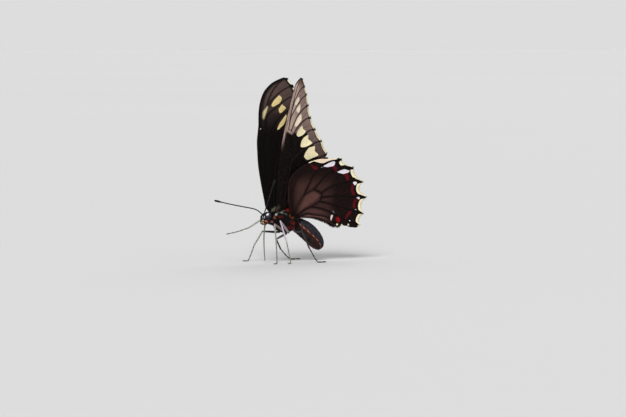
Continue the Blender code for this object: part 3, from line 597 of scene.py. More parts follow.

# %% [markdown]
# The ground colour changes too. The end of the forewing's underside is pale mauve-brown, darker
# towards the margin, with a rusty tip and olive hair at the wing's base. Its extra paleness towards
# the costa and the pale rim along it are partly painted sheen, where the sun grazes the wing. The
# hindwing is red-brown by its hinge and black outside, with painted highlights on its front and
# inner edges. Each ground is a smooth number from 0, darkest, to 1, palest, that the material
# spreads over a run of colours. In the lines below a pair of numbers in smooth() is a pair of
# places or distances in millimetres: where a shade starts, and where it is full.

# %% What each point of a wing stores
ABSENT = -9.0  # a depth that no mark's edge comes near
VEIN_INK, VEIN_INK_LOSS = 0.32, 0.09  # half a dark line's width at a vein's root, less by its end
THIN_SHARE = 0.4  # of that width along a thin vein
RIB_HEIGHT = 0.62  # of a vein's half width
WEDGE_START, WEDGE_LEAN = 0.10, 0.6  # the black wedge that widens from a tooth along its vein
WEDGE_LENGTH = 2.2
TOOTH_DOT = 0.42  # radius of the black at a tooth's end
FORE_WEDGE, HIND_WEDGE = 0.2, 0.26  # how fast the wedge widens
FRINGE_DEPTH, BAY_DEPTH, UPPER_BAY_DEPTH = 0.55, 1.25, 1.0  # of the cream along an edge
FORE_EDGE_LINE = (0.50, 0.85)  # the dark line behind the cream, between these distances from the edge
HIND_EDGE_LINE = (1.22, 1.55)
CREASE_INK = 0.16  # half width of the crease behind a bay
BAND_INK = 0.28  # half width of the black line under the hindwing's cream band
PIN_RADIUS = 0.22
WING_MIDDLE = np.array((12, 5))  # the row of spots on the hindwing's upper side lies towards it
RED_RING = 0.62  # width of the red crescent, which is a ring cut by its neighbours


def common_marks(places, veins, edge, teeth, dark_teeth, wedge_slope):
    """The distances that both wings need: inside the vein lines, from the edge and from the teeth."""
    vein = np.full(len(places), -1e9)
    rise = np.zeros(len(places))
    sag = np.full(len(places), 1e9)
    for name, line in veins.items():
        away, along = distance_to_line(places, line)
        half_width = vein_half_width(along)
        ink = (VEIN_INK - VEIN_INK_LOSS * along) * (THIN_SHARE if name in THIN_VEINS else 1)
        vein = np.maximum(vein, ink - away)
        rise = np.maximum(rise, half_width * RIB_HEIGHT * np.sqrt(share(1 - (away / half_width) ** 2)))
        sag = np.minimum(sag, away)
    from_edge = distance_to_line(places, edge)[0]
    from_teeth = from_nearest(places, teeth)
    from_dark = from_nearest(places, dark_teeth)
    wedge = WEDGE_START + wedge_slope * from_teeth - sag + WEDGE_LEAN * (from_teeth - from_dark)
    claw = np.maximum(np.minimum(wedge, WEDGE_LENGTH - from_teeth), TOOTH_DOT - from_dark)
    return vein, rise, sag, from_edge, from_teeth, wedge, claw


def fore_marks(places):
    """The underside's and the upper side's marks, and the relief, of the forewing."""
    a, b = places.T
    vein, rise, sag, from_edge, from_teeth, _, claw = common_marks(
        places, fore_veins, fore_margin, FORE_TEETH, FORE_TEETH, FORE_WEDGE)
    absent = np.full(len(places), ABSENT)
    from_costa = from_curve(places, FORE_COSTA)
    fringe = np.minimum.reduce([FRINGE_DEPTH - from_edge, (from_teeth - 0.45) * 0.5, sag - 0.15])
    folds = [distance_to_line(places, np.array(pair))[0] for pair in zip(FORE_BAYS, FOLD_ENDS)]
    fold = CREASE_INK - np.min(folds, axis=0)
    field = smooth(-0.1, 0.6, depth_inside(places, PALE_FIELD))
    across = from_edge / (from_edge + from_costa + 0.01)  # 0 at the margin, 1 at the costa
    # the pale field grows lighter upward and towards the costa, and dark again at the tip; the lightening
    # towards the costa is partly painted sheen of the sunlit underside
    light = 0.27 + 0.34 * smooth(18, 40, b) + 0.56 * smooth(0.35, 0.85, across) * smooth(22, 30, b)
    light *= 1 - 0.75 * smooth(44.5, 47.5, b)
    # rim: a pale strip along the costa, painted sheen where the sun grazes the wing
    rim = smooth(1.7, 0.6, from_costa) * smooth(20.5, 27, b) * smooth(47, 42, b) * 0.92
    dark_line = np.minimum(FORE_EDGE_LINE[1] - from_edge, from_edge - FORE_EDGE_LINE[0])
    dark_costa = 0.10 + 0.18 * smooth(34, 42, b) - from_costa
    under = {
        "tone": np.maximum(field * light, rim),
        "vein": vein,
        "fold": fold,
        "cream": np.maximum(deepest(places, HEARTS), np.minimum(fringe, (44.5 - b) * 0.3)),
        "faint": deepest(places, FAINT_HEARTS) + 0.22,
        "amber": 1.3 - np.hypot((a - 5.0) * 1.3, b - 46.2),
        "olive": 1.05 - np.hypot((a + 2.5) / 0.9, b / 1.15),
        "white": absent,
        "black": absent,
        "ink": np.maximum.reduce([dark_line, np.minimum(claw, 1.4 - from_teeth), dark_costa, b - 47.5]),
    }
    apex = smooth(26, 42, b) * smooth(0.3, 1.3, from_edge) * smooth(0.3, 1.4, from_costa)
    pin_spot = PIN_RADIUS - np.hypot(a - PIN_SPOT[0], b - PIN_SPOT[1])
    upper = under | {
        "tone": 0.03 + 0.87 * apex,
        "fold": fold - 1,
        "cream": deepest(places, UPPER_SPOTS[:2] + UPPER_SPOTS[3:] + UPPER_HEARTS),
        "faint": deepest(places, UPPER_SPOTS[2:3]) - 0.05,
        "amber": absent,
        "olive": absent,
        "white": np.maximum(pin_spot, fringe - 0.1),
        "black": np.maximum(0.75 - from_edge, 0.5 - from_costa),
    }
    return under, upper, rise, sag


def hind_marks(places):
    """The same for the hindwing."""
    a, b = places.T
    vein, rise, sag, from_edge, from_teeth, wedge, claw = common_marks(
        places, hind_veins, hind_margin, HIND_TEETH, DARK_TEETH, HIND_WEDGE)
    absent = np.full(len(places), ABSENT)
    from_costa = from_curve(places, HIND_COSTA)
    from_inner = from_curve(places, HIND_INNER)
    bays = np.minimum(BAY_DEPTH - from_edge, -wedge)
    band = depth_inside(places, COSTAL_BAND)
    tail = np.max([radius - np.hypot(a - x, b - y) for x, y, radius in TAIL_SPOTS], axis=0)
    cream = np.max([bays, band, tail], axis=0)
    cream_bar = depth_inside(places, CREAM_BAR)
    white = np.maximum(np.minimum(deepest(places, WHITE_BARS), from_edge - 1.5), cream_bar)
    ring = deepest(places, RED_MARKS[:1])
    red = np.maximum(np.minimum(ring, RED_RING - ring), deepest(places, RED_MARKS[1:]))
    # brown rays spread from the hinge and fade to the margin and the costa
    rays = 0.10 * np.sin(np.arctan2(b - 3, a - 6) * 34)
    from_base = np.hypot(a - 2, (b - 2) * 1.15)
    brown = smooth(24, 9, from_base + 9 * rays) * smooth(15.5, 9.5, b) * smooth(0.8, 5.0, from_costa)
    brown *= (0.55 + 0.45 * smooth(0.2, 1.2, sag)) * smooth(20, 15, a)
    cell = smooth(0.0, 1.1, depth_inside(places, CELL))
    # paler: a line along the rolled inner edge and the front edge below its middle, both painted highlights,
    # and a broad band along the inner edge
    rim = smooth(0.2, 0.45, from_inner) * smooth(1.3, 0.9, from_inner) * smooth(4, 8, a) * smooth(18, 14, a)
    front = smooth(0.32, 0.12, from_costa) * smooth(2, 4, b) * smooth(14, 11, b)
    lower = smooth(5.0, 2.0, from_inner) * smooth(2, 7, a) * smooth(17, 12, a)
    band_line = BAND_INK - from_curve(places, BAND_LINE, 6)
    dark_line = np.minimum(HIND_EDGE_LINE[1] - from_edge, from_edge - HIND_EDGE_LINE[0])
    band_middle = np.minimum(band - 0.15, 0.8 - np.abs(a - 12.6) * 0.16)
    under = {
        "tone": 0.08 + 0.48 * brown + 0.22 * cell + 0.45 * rim + 0.12 * lower + 0.3 * front,
        "vein": vein,
        "cream": cream,
        "faint": depth_inside(places, GREY_BAR),
        "white": white,
        "red": red,
        "black": np.maximum.reduce([cream + 0.55, white + 0.35, 1.6 - from_teeth]),
        "ink": np.maximum.reduce([band_line, claw, dark_line]),
        "blush": np.maximum(band_middle, cream_bar),
        "crimson": deepest(places, RED_MARKS[-1:]) - 0.15,
    }
    inward = [np.array(bay) * 0.80 + WING_MIDDLE * 0.20 for bay in HIND_BAYS]
    row = np.max([1.2 - np.hypot(*((places - spot) * (0.75, 1.0)).T) for spot in inward], axis=0)
    upper_cream = np.maximum(np.minimum(UPPER_BAY_DEPTH - from_edge, (from_teeth - 0.35) * 0.62), row)
    upper = under | {"tone": 0.10 + 0.25 * brown, "cream": upper_cream, "black": upper_cream + 0.3}
    upper |= {mark: absent for mark in ("faint", "white", "red", "blush", "crimson")}
    return under, upper, rise, sag


# %% [markdown]
# Wing scales are flat chitin shingles of about 0.1 by 0.2 mm, in rows across the wing. Pigment in
# them gives the black, cream and red, and air between their ribs a soft sheen. The eye reads them
# as velvet. The rows are drawn here by a brick pattern of twice the real size, so that they
# still show in a close view. The same pattern gives each scale its own shade and a little bump.

# %% The scaled surface of a wing
SCALE_WIDTH, SCALE_LENGTH = 0.20, 0.36
SCALE_SHADES = (0.84, 1.13)  # the darkest and the palest scale, against the pigment
SCALE_GAP = 0.74  # and the shade between two scales
EDGE_JITTER = 0.10  # how far single scales break a mark's edge
TONE_DRIFT = 0.07  # how much the ground's tone wanders
SOFT_EDGE = {
    "cream": 0.08, "white": 0.08, "red": 0.32, "black": 0.2, "ink": 0.12, "vein": 0.18, "fold": 0.2,
    "faint": 0.32, "blush": 0.3, "crimson": 0.35, "amber": 0.9, "olive": 0.35,
}


def grey(value):
    return (value, value, value, 1)


def scaled_wing(name, ground, marks, turn=0.0):
    """A material of wing scales: ground is a run of (tone, colour), marks a list of (name, colour, cover).

    The rows of scales are turned by some degrees so that they lie across the way to the margin.
    """
    material, tree, shader = new_material(name, Roughness=0.75, Specular_IOR_Level=0.04)
    plan = attribute(tree, "plan", "Vector")
    jitter = add_node(tree, "ShaderNodeTexNoise", {
        "Vector": plan, "Scale": 3.2, "Detail": 3.0, "Roughness": 0.7})
    offset = map_range(tree, jitter.outputs["Fac"], (0.25, 0.75), (-EDGE_JITTER, EDGE_JITTER))
    streak_map = add_node(tree, "ShaderNodeMapping", {"Vector": plan, "Scale": (0.35, 1.4, 1.0)})
    streak = add_node(tree, "ShaderNodeTexNoise", {
        "Vector": streak_map.outputs["Vector"], "Scale": 1.6, "Detail": 5.0, "Roughness": 0.6})
    drift = map_range(tree, streak.outputs["Fac"], (0.3, 0.7), (-TONE_DRIFT, TONE_DRIFT))
    tone = add_node(tree, "ShaderNodeMath", {0: attribute(tree, "tone"), 1: drift}, operation="ADD")
    ramp = add_node(tree, "ShaderNodeValToRGB", {"Fac": tone.outputs["Value"]})
    elements = ramp.color_ramp.elements
    for i, (place, colour) in enumerate(ground):
        element = elements[i] if i < 2 else elements.new(place)
        element.position = place
        element.color = linear(colour)
    colour = ramp.outputs["Color"]
    for mark, paint_colour, cover in marks:
        depth = add_node(tree, "ShaderNodeMath", {0: attribute(tree, mark), 1: offset}, operation="ADD")
        edge = SOFT_EDGE[mark]
        mask = map_range(tree, depth.outputs["Value"], (-edge, edge), (0, cover),
                         interpolation_type="SMOOTHSTEP")
        mix = add_node(tree, "ShaderNodeMix", {
            "Factor": mask, 6: colour, 7: linear(paint_colour)}, data_type="RGBA")
        colour = mix.outputs[2]
    turned = add_node(tree, "ShaderNodeMapping", {"Vector": plan, "Rotation": (0, 0, math.radians(turn))})
    rows = add_node(tree, "ShaderNodeTexBrick", {
        "Vector": turned.outputs["Vector"], "Color1": grey(SCALE_SHADES[0]), "Color2": grey(SCALE_SHADES[1]),
        "Mortar": grey(SCALE_GAP), "Scale": 1.0, "Mortar Size": 0.012, "Mortar Smooth": 0.6,
        "Brick Width": SCALE_WIDTH, "Row Height": SCALE_LENGTH})
    shaded = add_node(tree, "ShaderNodeMix", {
        "Factor": 1.0, 6: colour, 7: rows.outputs["Color"]}, data_type="RGBA", blend_type="MULTIPLY")
    tree.links.new(shaded.outputs[2], shader.inputs["Base Color"])
    relief = add_node(tree, "ShaderNodeBump", {
        "Height": rows.outputs["Color"], "Strength": 0.35, "Distance": 0.00003})
    tree.links.new(relief.outputs["Normal"], shader.inputs["Normal"])
    return material


HIND_TURN = 65  # degrees
fore_under_scales = scaled_wing(
    "forewing_underside_scales",
    [(0.0, "#0B0807"), (1.0, "#CDB0A4"), (0.25, "#4B3B38"), (0.6, "#937C75")],
    [("amber", "#9A6C48", 0.65), ("olive", "#4A4338", 0.9), ("fold", "#4A3A38", 0.55),
     ("faint", "#FFF0D6", 1.0), ("vein", "#1C1413", 0.97), ("cream", "#F6E8BE", 1.0),
     ("ink", "#150E0D", 0.95)],
)
fore_upper_scales = scaled_wing(
    "forewing_upperside_scales",
    [(0.0, "#070505"), (1.0, "#54443F"), (0.5, "#2A2120")],
    [("vein", "#100B0B", 0.8), ("black", "#0A0707", 0.9), ("white", "#EDEADB", 0.9),
     ("cream", "#D2BE84", 1.0), ("faint", "#CDBF94", 0.85), ("ink", "#0D0808", 0.9)],
)
hind_under_scales = scaled_wing(
    "hindwing_underside_scales",
    [(0.0, "#0E0808"), (1.0, "#6C4944"), (0.5, "#3B2724")],
    [("vein", "#130B0B", 0.9), ("black", "#0D0808", 0.9), ("red", "#5E111B", 0.92),
     ("crimson", "#8C1014", 0.9), ("faint", "#A89C98", 0.6), ("white", "#F0E6F0", 1.0),
     ("cream", "#FBF1CC", 1.0), ("blush", "#E6C9B6", 0.75), ("ink", "#0D0808", 1.0)],
    turn=HIND_TURN,
)
hind_upper_scales = scaled_wing(
    "hindwing_upperside_scales",
    [(0.0, "#0C0909"), (1.0, "#4A3430")],
    [("vein", "#0C0808", 0.8), ("black", "#0A0707", 0.9), ("cream", "#EBD9A0", 1.0),
     ("ink", "#0D0808", 1.0)],
    turn=HIND_TURN,
)

# %% [markdown]
# A wing's two faces share the plan. Each point is set off from the middle surface along its normal,
# by half the membrane, or by more over a vein. Between veins the membrane bellies a little.

# %% The four wings
HALF_MEMBRANE = 0.07
BELLY, BELLY_REACH = 0.16, 1.6  # how deep the membrane hangs between veins, and how soon
INNER_PLAN_SHIFT = (50, 50, 0)  # so that the two faces don't share their noise
REACH = 0.02  # the step over which a surface's slope is measured


def wing_frame(places, hinge, height):
    """Points of a left wing's middle surface, its slopes back and up, and its outward normal."""
    def middle(a, b):
        return np.column_stack([height(a, b), hinge[0] + a, hinge[1] + b])

    a, b = places.T
    back = (middle(a + REACH, b) - middle(a - REACH, b)) / (2 * REACH)
    up = (middle(a, b + REACH) - middle(a, b - REACH)) / (2 * REACH)
    normal = np.cross(back, up)
    normal *= np.sign(normal[:, :1]) / np.linalg.norm(normal, axis=1)[:, None]
    return middle(a, b), back, up, normal


def wing_points(places, hinge, height, rise, sag):
    """Points of the outer and the inner face of a left wing."""
    middle, _, _, normal = wing_frame(places, hinge, height)
    belly = BELLY * (1 - np.exp(-((sag / BELLY_REACH) ** 2)))[:, None]
    base = middle - normal * belly
    thick = (HALF_MEMBRANE + rise)[:, None] * normal
    return base + thick, base - thick


def add_wing(name, side, hinge, height, places, faces, marks, materials):
    """A closed wing: its outer face, its inner face and the rim between them."""
    under, upper, rise, sag = marks
    outer, inner = wing_points(places, hinge, height, rise, sag)
    points = np.vstack([outer, inner]) * (side, 1, 1)
    count = len(places)
    sides = {(face[i], face[(i + 1) % 3]) for face in faces for i in range(3)}
    rim = [(end, start, start + count, end + count) for start, end in sides if (end, start) not in sides]
    turned = [tuple(i + count for i in reversed(face)) for face in faces]
    every = [*faces, *turned, *rim]
    first, second, third = (points[i] for i in faces[0])
    if np.cross(second - first, third - first)[0] * side < 0:
        every = [tuple(reversed(face)) for face in every]
    slots = [0] * len(faces) + [1] * len(faces) + [0] * len(rim)
    made = add_mesh(name, points, every, materials, slots)
    for mark in under:
        paint(made, mark, np.concatenate([under[mark], upper[mark]]))
    flat = np.column_stack([places, np.zeros(count)])
    paint(made, "plan", np.vstack([flat, flat + INNER_PLAN_SHIFT]))
    return made


WINGS = {
    "forewing": (FORE_HINGE, fore_height, fore_plan, fore_faces, fore_marks(fore_plan),
                 [fore_under_scales, fore_upper_scales]),
    "hindwing": (HIND_HINGE, hind_height, hind_plan, hind_faces, hind_marks(hind_plan),
                 [hind_under_scales, hind_upper_scales]),
}
for side, sign in BOTH_SIDES:
    for wing, parts in WINGS.items():
        dress(add_wing(f"dressed_{wing}_{side}", sign, *parts), wing, f"{wing}_{side}")

# %% [markdown]
# The body is one tapering form: head, thorax and abdomen. Its solid is a row of squarish ovals, and
# the skin here follows the same ovals, far finer. It lies deeper than the solid by the depth of
# the coat that will cover it, so that the tips of the hair end where the solid's surface is.

# %% Body sections
BODY_STATIONS = np.array([  # along, height, half width, half height
    (-9.75, 15.85, 0.45, 0.70), (-9.25, 16.05, 0.95, 1.40), (-8.30, 16.45, 1.30, 1.95),
    (-7.20, 16.80, 1.40, 2.15), (-6.10, 16.96, 1.25, 1.92), (-5.30, 16.75, 1.08, 1.85),
    (-4.60, 16.65, 1.90, 2.90), (-3.20, 16.72, 2.90, 4.03), (-1.30, 16.30, 3.40, 4.85),
    (0.80, 15.70, 3.45, 5.00), (2.80, 15.05, 3.05, 4.30), (4.60, 14.25, 2.20, 2.85),
    (6.40, 13.25, 2.50, 2.95), (8.60, 11.95, 2.85, 3.25), (11.00, 10.10, 2.90, 3.30),
    (13.00, 8.10, 2.70, 3.10), (14.55, 6.20, 2.22, 2.52), (15.55, 4.80, 1.22, 1.42),
])
LAST = len(BODY_STATIONS) - 1
NECK, WAIST = 5.0, 11.0
OVAL_POWER = 2.25  # 2 is an ellipse, and more is squarer
SEGMENTS = 7
GROOVE_DEPTH, GROOVE_WIDTH = 0.13, 0.07  # between two rings of the abdomen; the width in rings
COAT_DEPTHS = [  # station, and millimetres of hair there
    (0, 0.26), (3, 0.32), (5, 0.24), (6.2, 0.5), (9.5, 0.5), (11, 0.3), (11.8, 0.1), (LAST, 0.08),
]


def body_section(position):
    """Centre, direction along the body and half sizes at places counted in stations."""
    padded = np.vstack([BODY_STATIONS[0] * 2 - BODY_STATIONS[1], BODY_STATIONS,
                        BODY_STATIONS[-1] * 2 - BODY_STATIONS[-2]])
    position = np.clip(position, 0, LAST)
    index = np.minimum(position.astype(int), LAST - 1)
    t = (position - index)[:, None]
    before, start, end, after = (padded[index + i] for i in range(4))
    bend = -before + start * 3 - end * 3 + after
    slope = before * 2 - start * 5 + end * 4 - after
    here = (start * 2 + (end - before) * t + slope * t * t + bend * t**3) / 2
    pace = ((end - before) + slope * 2 * t + bend * 3 * t * t) / 2
    along = unit(np.column_stack([np.zeros(len(pace)), pace[:, :2]]))
    middle = np.column_stack([np.zeros(len(here)), here[:, :2]])
    return middle, along, here[:, 2], here[:, 3]


def coat_depth(position):
    """Millimetres of hair: short on the head, longest on the thorax, almost none on the abdomen."""
    return np.interp(position, *zip(*COAT_DEPTHS))


def abdomen_ring(position):
    """A place along counted in rings of the abdomen, and how far off the nearest groove is."""
    ring = (position - WAIST) / (LAST - WAIST) * SEGMENTS
    return ring, np.abs(ring - np.round(ring))


def squarish(wave):
    """A circle's cosine or sine, drawn out towards a square's."""
    return np.sign(wave) * np.abs(wave) ** (2 / OVAL_POWER)


def body_surface(position, turn, lift=0.0):
    """Points of the skin at places along and turns around the body, raised by a lift."""
    middle, along, half_width, half_height = body_section(position)
    up = np.cross((1.0, 0, 0), along)
    up *= np.where(up[:, 2:] < 0, -1, 1)
    ring, to_groove = abdomen_ring(position)
    groove = GROOVE_DEPTH * np.exp(-((to_groove / GROOVE_WIDTH) ** 2)) * (ring > 0.5)
    inset = coat_depth(position) - lift + groove
    across = squarish(np.cos(turn)) * (half_width - inset)
    rise = squarish(np.sin(turn)) * (half_height - inset)
    return middle + across[:, None] * np.array((1.0, 0, 0)) + rise[:, None] * up


print("abdomen:", round(float(body_section(np.array([WAIST]))[0][0][1]), 1), "mm behind zero at its waist")

# %% [markdown]
# Swallowtails wear dots and patches on a black coat: white on the neck and the front of the thorax,
# red along its side and under the eye. A broken salmon line runs along the abdomen. One
# function gives the colour for any point of the body, and both the skin and the hair ask it, so
# that a patch is the same in both.

# %% Colours of the body
BODY_MARKS = [  # |x|, y, z, radius, colour
    (2.30, 0.50, 19.90, 1.25, "#A82A18"), (3.25, 1.25, 17.32, 0.95, "#D06A30"),
    (3.18, 1.73, 14.64, 0.80, "#8A2416"), (1.90, 1.20, 11.60, 0.90, "#5E1A16"),
    (2.38, 1.89, 12.48, 1.00, "#8A2418"), (2.82, 0.06, 12.99, 0.70, "#7A2420"),
    (2.90, -3.12, 17.04, 0.60, "#7A2015"), (1.05, -8.10, 15.20, 0.50, "#F09078"),
    (0.85, -7.55, 14.85, 0.55, "#D8604C"), (0.92, -5.75, 15.00, 0.60, "#F0AAA0"),
    (0.83, -9.20, 15.60, 0.40, "#E8D2B0"), (1.50, -4.92, 16.75, 0.60, "#B0604E"),
    (1.58, -3.85, 19.80, 1.60, "#8C8570"), (2.08, -4.36, 18.00, 0.48, "#FFFFFF"),
    (2.70, -2.52, 18.72, 0.42, "#FFFFFF"), (2.54, -1.53, 19.50, 0.40, "#D0D0D4"),
    (3.15, -1.30, 18.18, 0.45, "#74766C"), (0.74, -9.48, 17.40, 0.16, "#B9B4C0"),
    (0.82, -9.50, 17.05, 0.16, "#B9B4C0"), (0.90, -9.46, 16.70, 0.16, "#B9B4C0"),
    (1.06, -8.80, 17.60, 0.20, "#D8D2DE"), (1.12, -8.84, 17.20, 0.20, "#D8D2DE"),
    (1.14, -8.90, 16.80, 0.20, "#D8D2DE"),
]
LINE_SINES = [0.15, -0.02, -0.15, -0.06, -0.08, -0.18]  # how high the salmon line runs
LINE_RINGS = [0, 1, 3, 5, 6, 7]  # at these rings of the abdomen


def rgb(hex_colour):
    return np.array(linear(hex_colour)[:3])


def plain(hex_colour, count):
    return np.tile(rgb(hex_colour), (count, 1))


def blend(colours, cover, paint_colour):
    """The colours with paint laid over them, from none where the cover is 0 to all where it is 1."""
    return colours * (1 - cover[:, None]) + rgb(paint_colour) * cover[:, None]


def from_mark(points, mark):
    """Millimetres from the middle of a patch, which is there on both sides of the body."""
    folded = np.abs(points * (1, 0, 0)) + points * (0, 1, 1)
    return np.linalg.norm(folded - mark[:3], axis=1)


def outside_marks(points):
    """Millimetres from the edge of the nearest patch, negative inside it."""
    return np.min([from_mark(points, mark) - mark[3] for mark in BODY_MARKS], axis=0)


def body_pigment(position, turn):
    """The linear colour of the body at places along and turns around it."""
    points = body_surface(position, turn, coat_depth(position))
    colours = plain("#15100F", len(points))
    sine = np.sin(turn)
    ring, to_groove = abdomen_ring(position)
    behind = smooth(WAIST - 0.3, WAIST + 0.4, position)
    # the top half of the abdomen is blue-grey, partly its own colour and partly painted sheen of the light
    # from above
    colours = blend(colours, behind * smooth(-0.15, 0.25, sine), "#26252F")
    colours = blend(colours, behind * smooth(0.0, -0.3, sine), "#220A08")
    colours = blend(colours, behind * smooth(0.10, 0.02, to_groove) * 0.7, "#0B0808")
    from_line = np.abs(sine - np.interp(ring, LINE_RINGS, LINE_SINES))
    line = smooth(0.07, 0.03, from_line) * smooth(-0.5, -0.2, ring)
    colours = blend(colours, line, "#5A1C14")
    colours = blend(colours, line * smooth(0.36, 0.20, np.abs(ring % 1 - 0.6)), "#C2694C")
    low_edge = smooth(-0.86, -0.92, sine) * smooth(-0.995, -0.97, sine)
    low_edge *= smooth(WAIST + 3, WAIST + 4.5, position)
    colours = blend(colours, low_edge * 0.6, "#6E2018")
    for mark in BODY_MARKS:
        cover = smooth(mark[3] * 1.12, mark[3] * 0.72, from_mark(points, mark))
        colours = blend(colours, cover, mark[4])
    return colours


# %% [markdown]
# Under the coat the skin is hard, dark and dull. It closes in a round cap at each end.

# %% The skin of the body
RINGS, SIDES = 260, 96
body_skin, tree, shader = pigmented("body_cuticle", Roughness=0.5)
skin_grain = add_node(tree, "ShaderNodeTexNoise", {"Scale": 9000.0, "Detail": 3.0})
skin_bump = add_node(tree, "ShaderNodeBump", {
    "Height": skin_grain.outputs["Fac"], "Strength": 0.3, "Distance": 0.00004})
tree.links.new(skin_bump.outputs["Normal"], shader.inputs["Normal"])


def rings_to_faces(rows, sides, start=0):
    """Quads between rings of points that follow each other in a list."""
    faces = []
    for row in range(rows - 1):
        first = start + row * sides
        for i in range(sides):
            after = (i + 1) % sides
            faces.append((first + i, first + after, first + sides + after, first + sides + i))
    return faces


def capped_tube(rings, front, back, start=0):
    """Points and faces of a closed body through rings of points, with a middle point at each end."""
    rows, sides = len(rings), len(rings[0])
    points = np.vstack([[front], *rings, [back]])
    faces = rings_to_faces(rows, sides, start + 1)
    last = start + 1 + (rows - 1) * sides
    faces += [(start, start + 1 + (i + 1) % sides, start + 1 + i) for i in range(sides)]
    faces += [(last + i, last + (i + 1) % sides, start + len(points) - 1) for i in range(sides)]
    return points, faces


positions = np.linspace(0, LAST, RINGS)
turns = np.linspace(0, 2 * math.pi, SIDES, endpoint=False)
rings = [body_surface(np.full(SIDES, place), turns) for place in positions]
shades = [body_pigment(np.full(SIDES, place), turns) for place in positions]
CAP_REACHES = {0: 0.32, -1: 0.34}  # how far the front and the back cap stand out
CAP_PARTS = np.arange(1, 6) / 6
for end, sign in ((0, -1), (-1, 1)):
    edge, shade = rings[end], shades[end]
    middle = edge.mean(axis=0)
    out = body_section(np.array([positions[end]]))[1][0] * sign * CAP_REACHES[end]
    caps = [middle + (edge - middle) * math.sqrt(1 - part**2) + out * part for part in CAP_PARTS]
    if end == 0:
        front, front_shade = middle + out, shade.mean(axis=0)
        rings, shades = caps[::-1] + rings, [shade] * len(caps) + shades
    else:
        back, back_shade = middle + out, shade.mean(axis=0)
        rings, shades = rings + caps, shades + [shade] * len(caps)
points, faces = capped_tube(rings, front, back)
skin = add_mesh("body_skin", points, [tuple(reversed(face)) for face in faces], [body_skin])
paint(skin, "pigment", np.vstack([[front_shade], *shades, [back_shade]]))
dress(skin, "flesh", "head", "thorax", "abdomen")

# %% [markdown]
# The coat is real geometry: thin solid tufts, each a three-sided blade that tapers to a point and
# lies towards the tail, as the hair does. A painted fuzz would vanish in profile, and the edge of
# the thorax against the light is where hair shows most.

# %% Growing a coat
rng = np.random.default_rng(11)
ROOT_SINK = 0.06  # how deep a tuft's root is in the skin
TUFT_MIDDLE, TUFT_FLATNESS = 0.8, 0.7  # its width half way up, and its thickness against its width
TUFT_POINTS = 7
TUFT_FACES = np.array([  # a triangle repeats its last point
    (0, 1, 4, 3), (1, 2, 5, 4), (2, 0, 3, 5), (3, 4, 6, 6), (4, 5, 6, 6), (5, 3, 6, 6), (1, 0, 2, 2)])
TUFT_HEIGHTS = [0, 0, 0, 0.5, 0.5, 0.5, 1.0]  # of its seven points
TUFT_UNWRAP = np.array([(-1, -1), (1, -1), (0, -0.6), (-0.8, 0), (0.8, 0), (0, 0.2), (0, 1.0)]) * 0.0015
LIE_SPREAD, LIE_SAG = 0.22, (0, 0, -0.12)  # how unevenly hair lies, and how it hangs
EYE_MARGIN = 0.1  # no root is nearer to an eye
PALE_SUM = 0.6  # hair whose three colour values add up to more is pale, and shorter
LENGTH_SPREAD, WIDTH_SPREAD, SHADE_SPREAD = (0.65, 1.15), (0.7, 1.3), (0.7, 1.3)


def spaced(path, count):
    """The same curve with evenly spaced points."""
    steps = np.linalg.norm(np.diff(path, axis=0), axis=1)
    along = np.concatenate([[0], np.cumsum(steps)])
    places = np.linspace(0, along[-1], count)
    return np.column_stack([np.interp(places, along, path[:, i]) for i in range(path.shape[1])]), places


def add_coat(name, slot, material, roots, lie, normal, lengths, widths, lifts, colours, unwrap):
    """Tufts at the roots. They rise along the normal, then bend over into the lie."""
    side = unit(np.cross(lie, normal))
    lifts = lifts[:, None]
    lengths, widths = lengths[:, None], widths[:, None]
    start = unit(lie * (1 - lifts) + normal * lifts * 1.2)
    finish = unit(lie + normal * (lifts - 0.35) * 0.5)
    low = roots - normal * ROOT_SINK
    middle = roots + start * lengths * 0.5
    tip = middle + finish * lengths * 0.5
    shape = []
    for centre, scale in ((low, 1.0), (middle, TUFT_MIDDLE)):
        shape += [centre + side * widths * scale, centre - side * widths * scale,
                  centre + normal * widths * scale * TUFT_FLATNESS]
    shape.append(tip)
    points = np.stack(shape, axis=1).reshape(-1, 3)
    faces = []
    for first in range(0, len(points), TUFT_POINTS):
        for a, b, c, d in (TUFT_FACES + first).tolist():
            faces.append((a, b, c) if c == d else (a, b, c, d))
    made = add_mesh(name, points, faces, [material])
    paint(made, "pigment", np.repeat(colours, TUFT_POINTS, axis=0))
    paint(made, "tip", np.tile(TUFT_HEIGHTS, len(roots)))
    corners = np.repeat(unwrap, TUFT_POINTS, axis=0) + np.tile(TUFT_UNWRAP, (len(roots), 1))
    layer = made.data.uv_layers.new(name="OFBake")
    index = np.zeros(len(made.data.loops), np.int32)
    made.data.loops.foreach_get("vertex_index", index)
    layer.data.foreach_set("uv", corners[index].astype(np.float32).ravel())
    dress(made, slot)


def coat_material(name, **sockets):
    """Hair or scales: each tuft's own colour, darker at its root and paler at its tip."""
    material, tree, shader = new_material(name, **sockets)
    along = map_range(tree, attribute(tree, "tip"), (0, 1), (0.55, 1.25))
    shade = add_node(tree, "ShaderNodeVectorMath", {
        0: attribute(tree, "pigment", "Color"), "Scale": along}, operation="SCALE")
    tree.links.new(shade.outputs["Vector"], shader.inputs["Base Color"])
    return material


body_hair = coat_material("body_hair", Roughness=0.55, Specular_IOR_Level=0.2)
abdomen_scales = coat_material("abdomen_scales", Roughness=0.5, Specular_IOR_Level=0.06)


